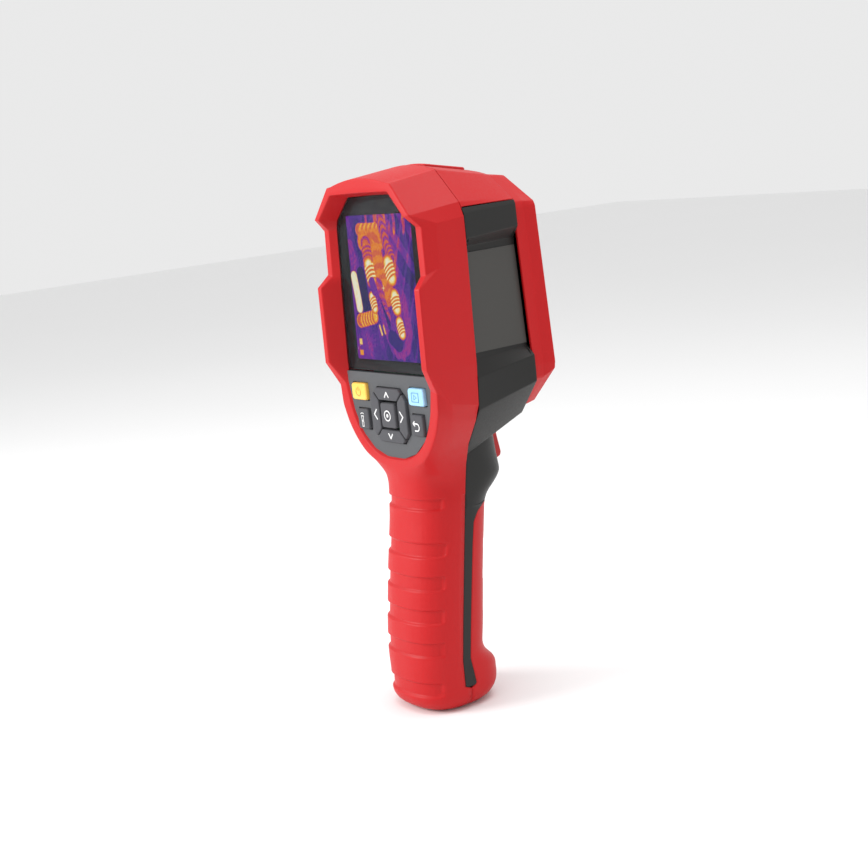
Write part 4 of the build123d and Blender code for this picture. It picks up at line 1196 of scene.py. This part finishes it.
class CAMERA_OT_trigger(bpy.types.Operator):
    """Make the trigger lever"""
    bl_idname = "camera_looks.trigger"
    bl_label = "Trigger"

    def execute(self, context):
        dress(build_trigger(), held("lever_red"), "trigger", ["trigger"])
        return {"FINISHED"}


class CAMERA_OT_optics(bpy.types.Operator):
    """Make the lens, its barrel and ring, and the two small windows"""
    bl_idname = "camera_looks.optics"
    bl_label = "Optics"

    def execute(self, context):
        dress(build_barrel(), held("anodised"), "housing", ["lens_barrel"])
        dress(build_lens_ring(), held("anodised"), "housing", ["lens_ring"])
        lens = turned("germanium_dome", dome_profile(9.75, 39.3, 2.1, 37.1), 0.0, LENS_Z, 96)
        dress(lens, held("germanium"), "housing", ["germanium_lens"])
        window = turned("camera_window_disc", dome_profile(4.15, 42.0, 0.15, 41.0), 0.0, CAMERA_Z, 48)
        dress(window, held("lens_glass"), "housing", ["camera_window"])
        torch = turned("torch_window_lens", dome_profile(5.45, 41.9, 0.5, 41.0), 0.0, TORCH_Z, 48)
        dress(torch, held("lens_glass"), "housing", ["torch_window"])
        return {"FINISHED"}


class CAMERA_OT_foot_insert(bpy.types.Operator):
    """Make the threaded brass insert in the foot"""
    bl_idname = "camera_looks.foot_insert"
    bl_label = "Tripod insert"

    def execute(self, context):
        pitch, major, ridge = 1.27, 3.175, 0.32
        depth = np.arange(0.0, 7.5, pitch / 4)
        thread = major + ridge * np.abs(((depth / pitch) % 1.0) * 2 - 1) - ridge
        bore = np.column_stack([thread, FOOT_Z + depth])
        side = [(0.0, FOOT_Z + 9.0), (4.75, FOOT_Z + 9.0), (4.75, FOOT_Z + 0.3), (4.5, FOOT_Z + 0.02),
                (3.5, FOOT_Z + 0.02)]
        profile = np.vstack([side, bore, [(0.0, FOOT_Z + 7.6)]])
        turn = np.linspace(0, 2 * np.pi, 48, endpoint=False)
        grid = np.stack([profile[:, :1] * np.cos(turn), -8.0 + profile[:, :1] * np.sin(turn),
                         profile[:, 1:] + 0 * turn], axis=-1)
        piece = closed_piece("tripod_insert_thread", grid)
        face_outwards(piece)
        dress(piece, held("brass"), "housing", ["tripod_insert"])
        return {"FINISHED"}


class CAMERA_OT_stage(bpy.types.Operator):
    """Make the pale floor, the soft lamps and the camera"""
    bl_idname = "camera_looks.stage"
    bl_label = "Stage"

    def execute(self, context):
        build_floor()
        build_lamps(context.scene.camera_sizes.lamp_power)
        build_viewpoint()
        context.scene.view_settings.view_transform = "Standard"
        return {"FINISHED"}


def build_floor():
    """A flat pale floor, six metres square, a fifth of a millimetre under the foot."""
    x, y = np.meshgrid(np.linspace(-3.0, 3.0, 25), np.linspace(-3.0, 3.0, 25))
    points = np.stack([x, y, np.full_like(x, -0.0002)], axis=-1).reshape(-1, 3)
    mesh = bpy.data.meshes.new("floor")
    mesh.from_pydata(points.tolist(), [], grid_faces(25, 25).tolist())
    floor = bpy.data.objects.new("floor", mesh)
    bpy.context.scene.collection.objects.link(floor)
    floor.data.materials.append(finish("pale_floor", (0.90, 0.90, 0.90), 0.7, speck=0.01, speck_scale=3.0))


def add_lamp(name, place, aim, size, power):
    """A square soft lamp that faces a point."""
    lamp = bpy.data.lights.new(name, "AREA")
    lamp.size = size
    lamp.energy = power
    holder = bpy.data.objects.new(name, lamp)
    bpy.context.scene.collection.objects.link(holder)
    holder.location = place
    holder.rotation_euler = (Vector(aim) - Vector(place)).to_track_quat("-Z", "Y").to_euler()


def build_lamps(power):
    """A main lamp behind the user's left shoulder, a weak one above and an even pale surround."""
    add_lamp("main_lamp", (-0.45, -0.75, 0.50), (0.0, 0.0, 0.13), 0.45, power)
    add_lamp("top_lamp", (0.1, 0.1, 0.9), (0.0, 0.0, 0.15), 0.6, power * 0.55)
    surround = bpy.data.worlds.new("surround")
    surround.use_nodes = True
    glow = surround.node_tree.nodes["Background"]
    glow.inputs["Color"].default_value = (1.0, 1.0, 1.0, 1.0)
    glow.inputs["Strength"].default_value = 0.82
    bpy.context.scene.world = surround


def build_viewpoint():
    """The camera, placed by its turn, height and roll round a point on the handle."""
    turn, rise, roll = math.radians(53.868), math.radians(10.65), math.radians(-6.328)
    back = np.array([math.sin(turn) * math.cos(rise), -math.cos(turn) * math.cos(rise), math.sin(rise)])
    right = np.array([math.cos(turn), math.sin(turn), 0.0])
    up = np.cross(right, -back)
    rolled_right = math.cos(roll) * right + math.sin(roll) * up
    rolled_up = -math.sin(roll) * right + math.cos(roll) * up
    spot = (np.array([-0.03, 0.0, -23.28]) + DATUM) * MM + back * 0.6629
    lens = bpy.data.cameras.new("view_camera")
    lens.sensor_width = 36.0
    lens.lens = 63.61
    holder = bpy.data.objects.new("view_camera", lens)
    bpy.context.scene.collection.objects.link(holder)
    placed = np.eye(4)
    placed[:3] = np.column_stack([rolled_right, rolled_up, back, spot])
    holder.matrix_world = Matrix(placed.tolist())
    bpy.context.scene.camera = holder


STEPS = (CAMERA_OT_finishes, CAMERA_OT_rear_cover, CAMERA_OT_front_grip, CAMERA_OT_mid_housing,
         CAMERA_OT_top_band, CAMERA_OT_bumper, CAMERA_OT_keys, CAMERA_OT_display, CAMERA_OT_port_cover,
         CAMERA_OT_trigger, CAMERA_OT_optics, CAMERA_OT_foot_insert, CAMERA_OT_stage)


class CAMERA_PT_looks(bpy.types.Panel):
    """The sidebar's list of pieces and choices"""
    bl_idname = "CAMERA_PT_looks"
    bl_label = "Thermal Camera"
    bl_space_type = "VIEW_3D"
    bl_region_type = "UI"
    bl_category = "Thermal Camera"

    def draw(self, context):
        for name in CameraFinishes.__annotations__:
            self.layout.prop(context.scene.camera_finishes, name)
        for name in CameraSizes.__annotations__:
            self.layout.prop(context.scene.camera_sizes, name)
        for step in STEPS:
            self.layout.operator(step.bl_idname)


CLASSES = (CameraFinishes, CameraSizes, *STEPS, CAMERA_PT_looks)


def register():
    for part in CLASSES:
        bpy.utils.register_class(part)
    bpy.types.Scene.camera_finishes = bpy.props.PointerProperty(type=CameraFinishes)
    bpy.types.Scene.camera_sizes = bpy.props.PointerProperty(type=CameraSizes)


def unregister():
    del bpy.types.Scene.camera_sizes
    del bpy.types.Scene.camera_finishes
    for part in reversed(CLASSES):
        bpy.utils.unregister_class(part)


def main():
    """Make every piece in order."""
    register()
    for step in STEPS:
        group, action = step.bl_idname.split(".")
        getattr(getattr(bpy.ops, group), action)()


if __name__ == "__main__":
    main()
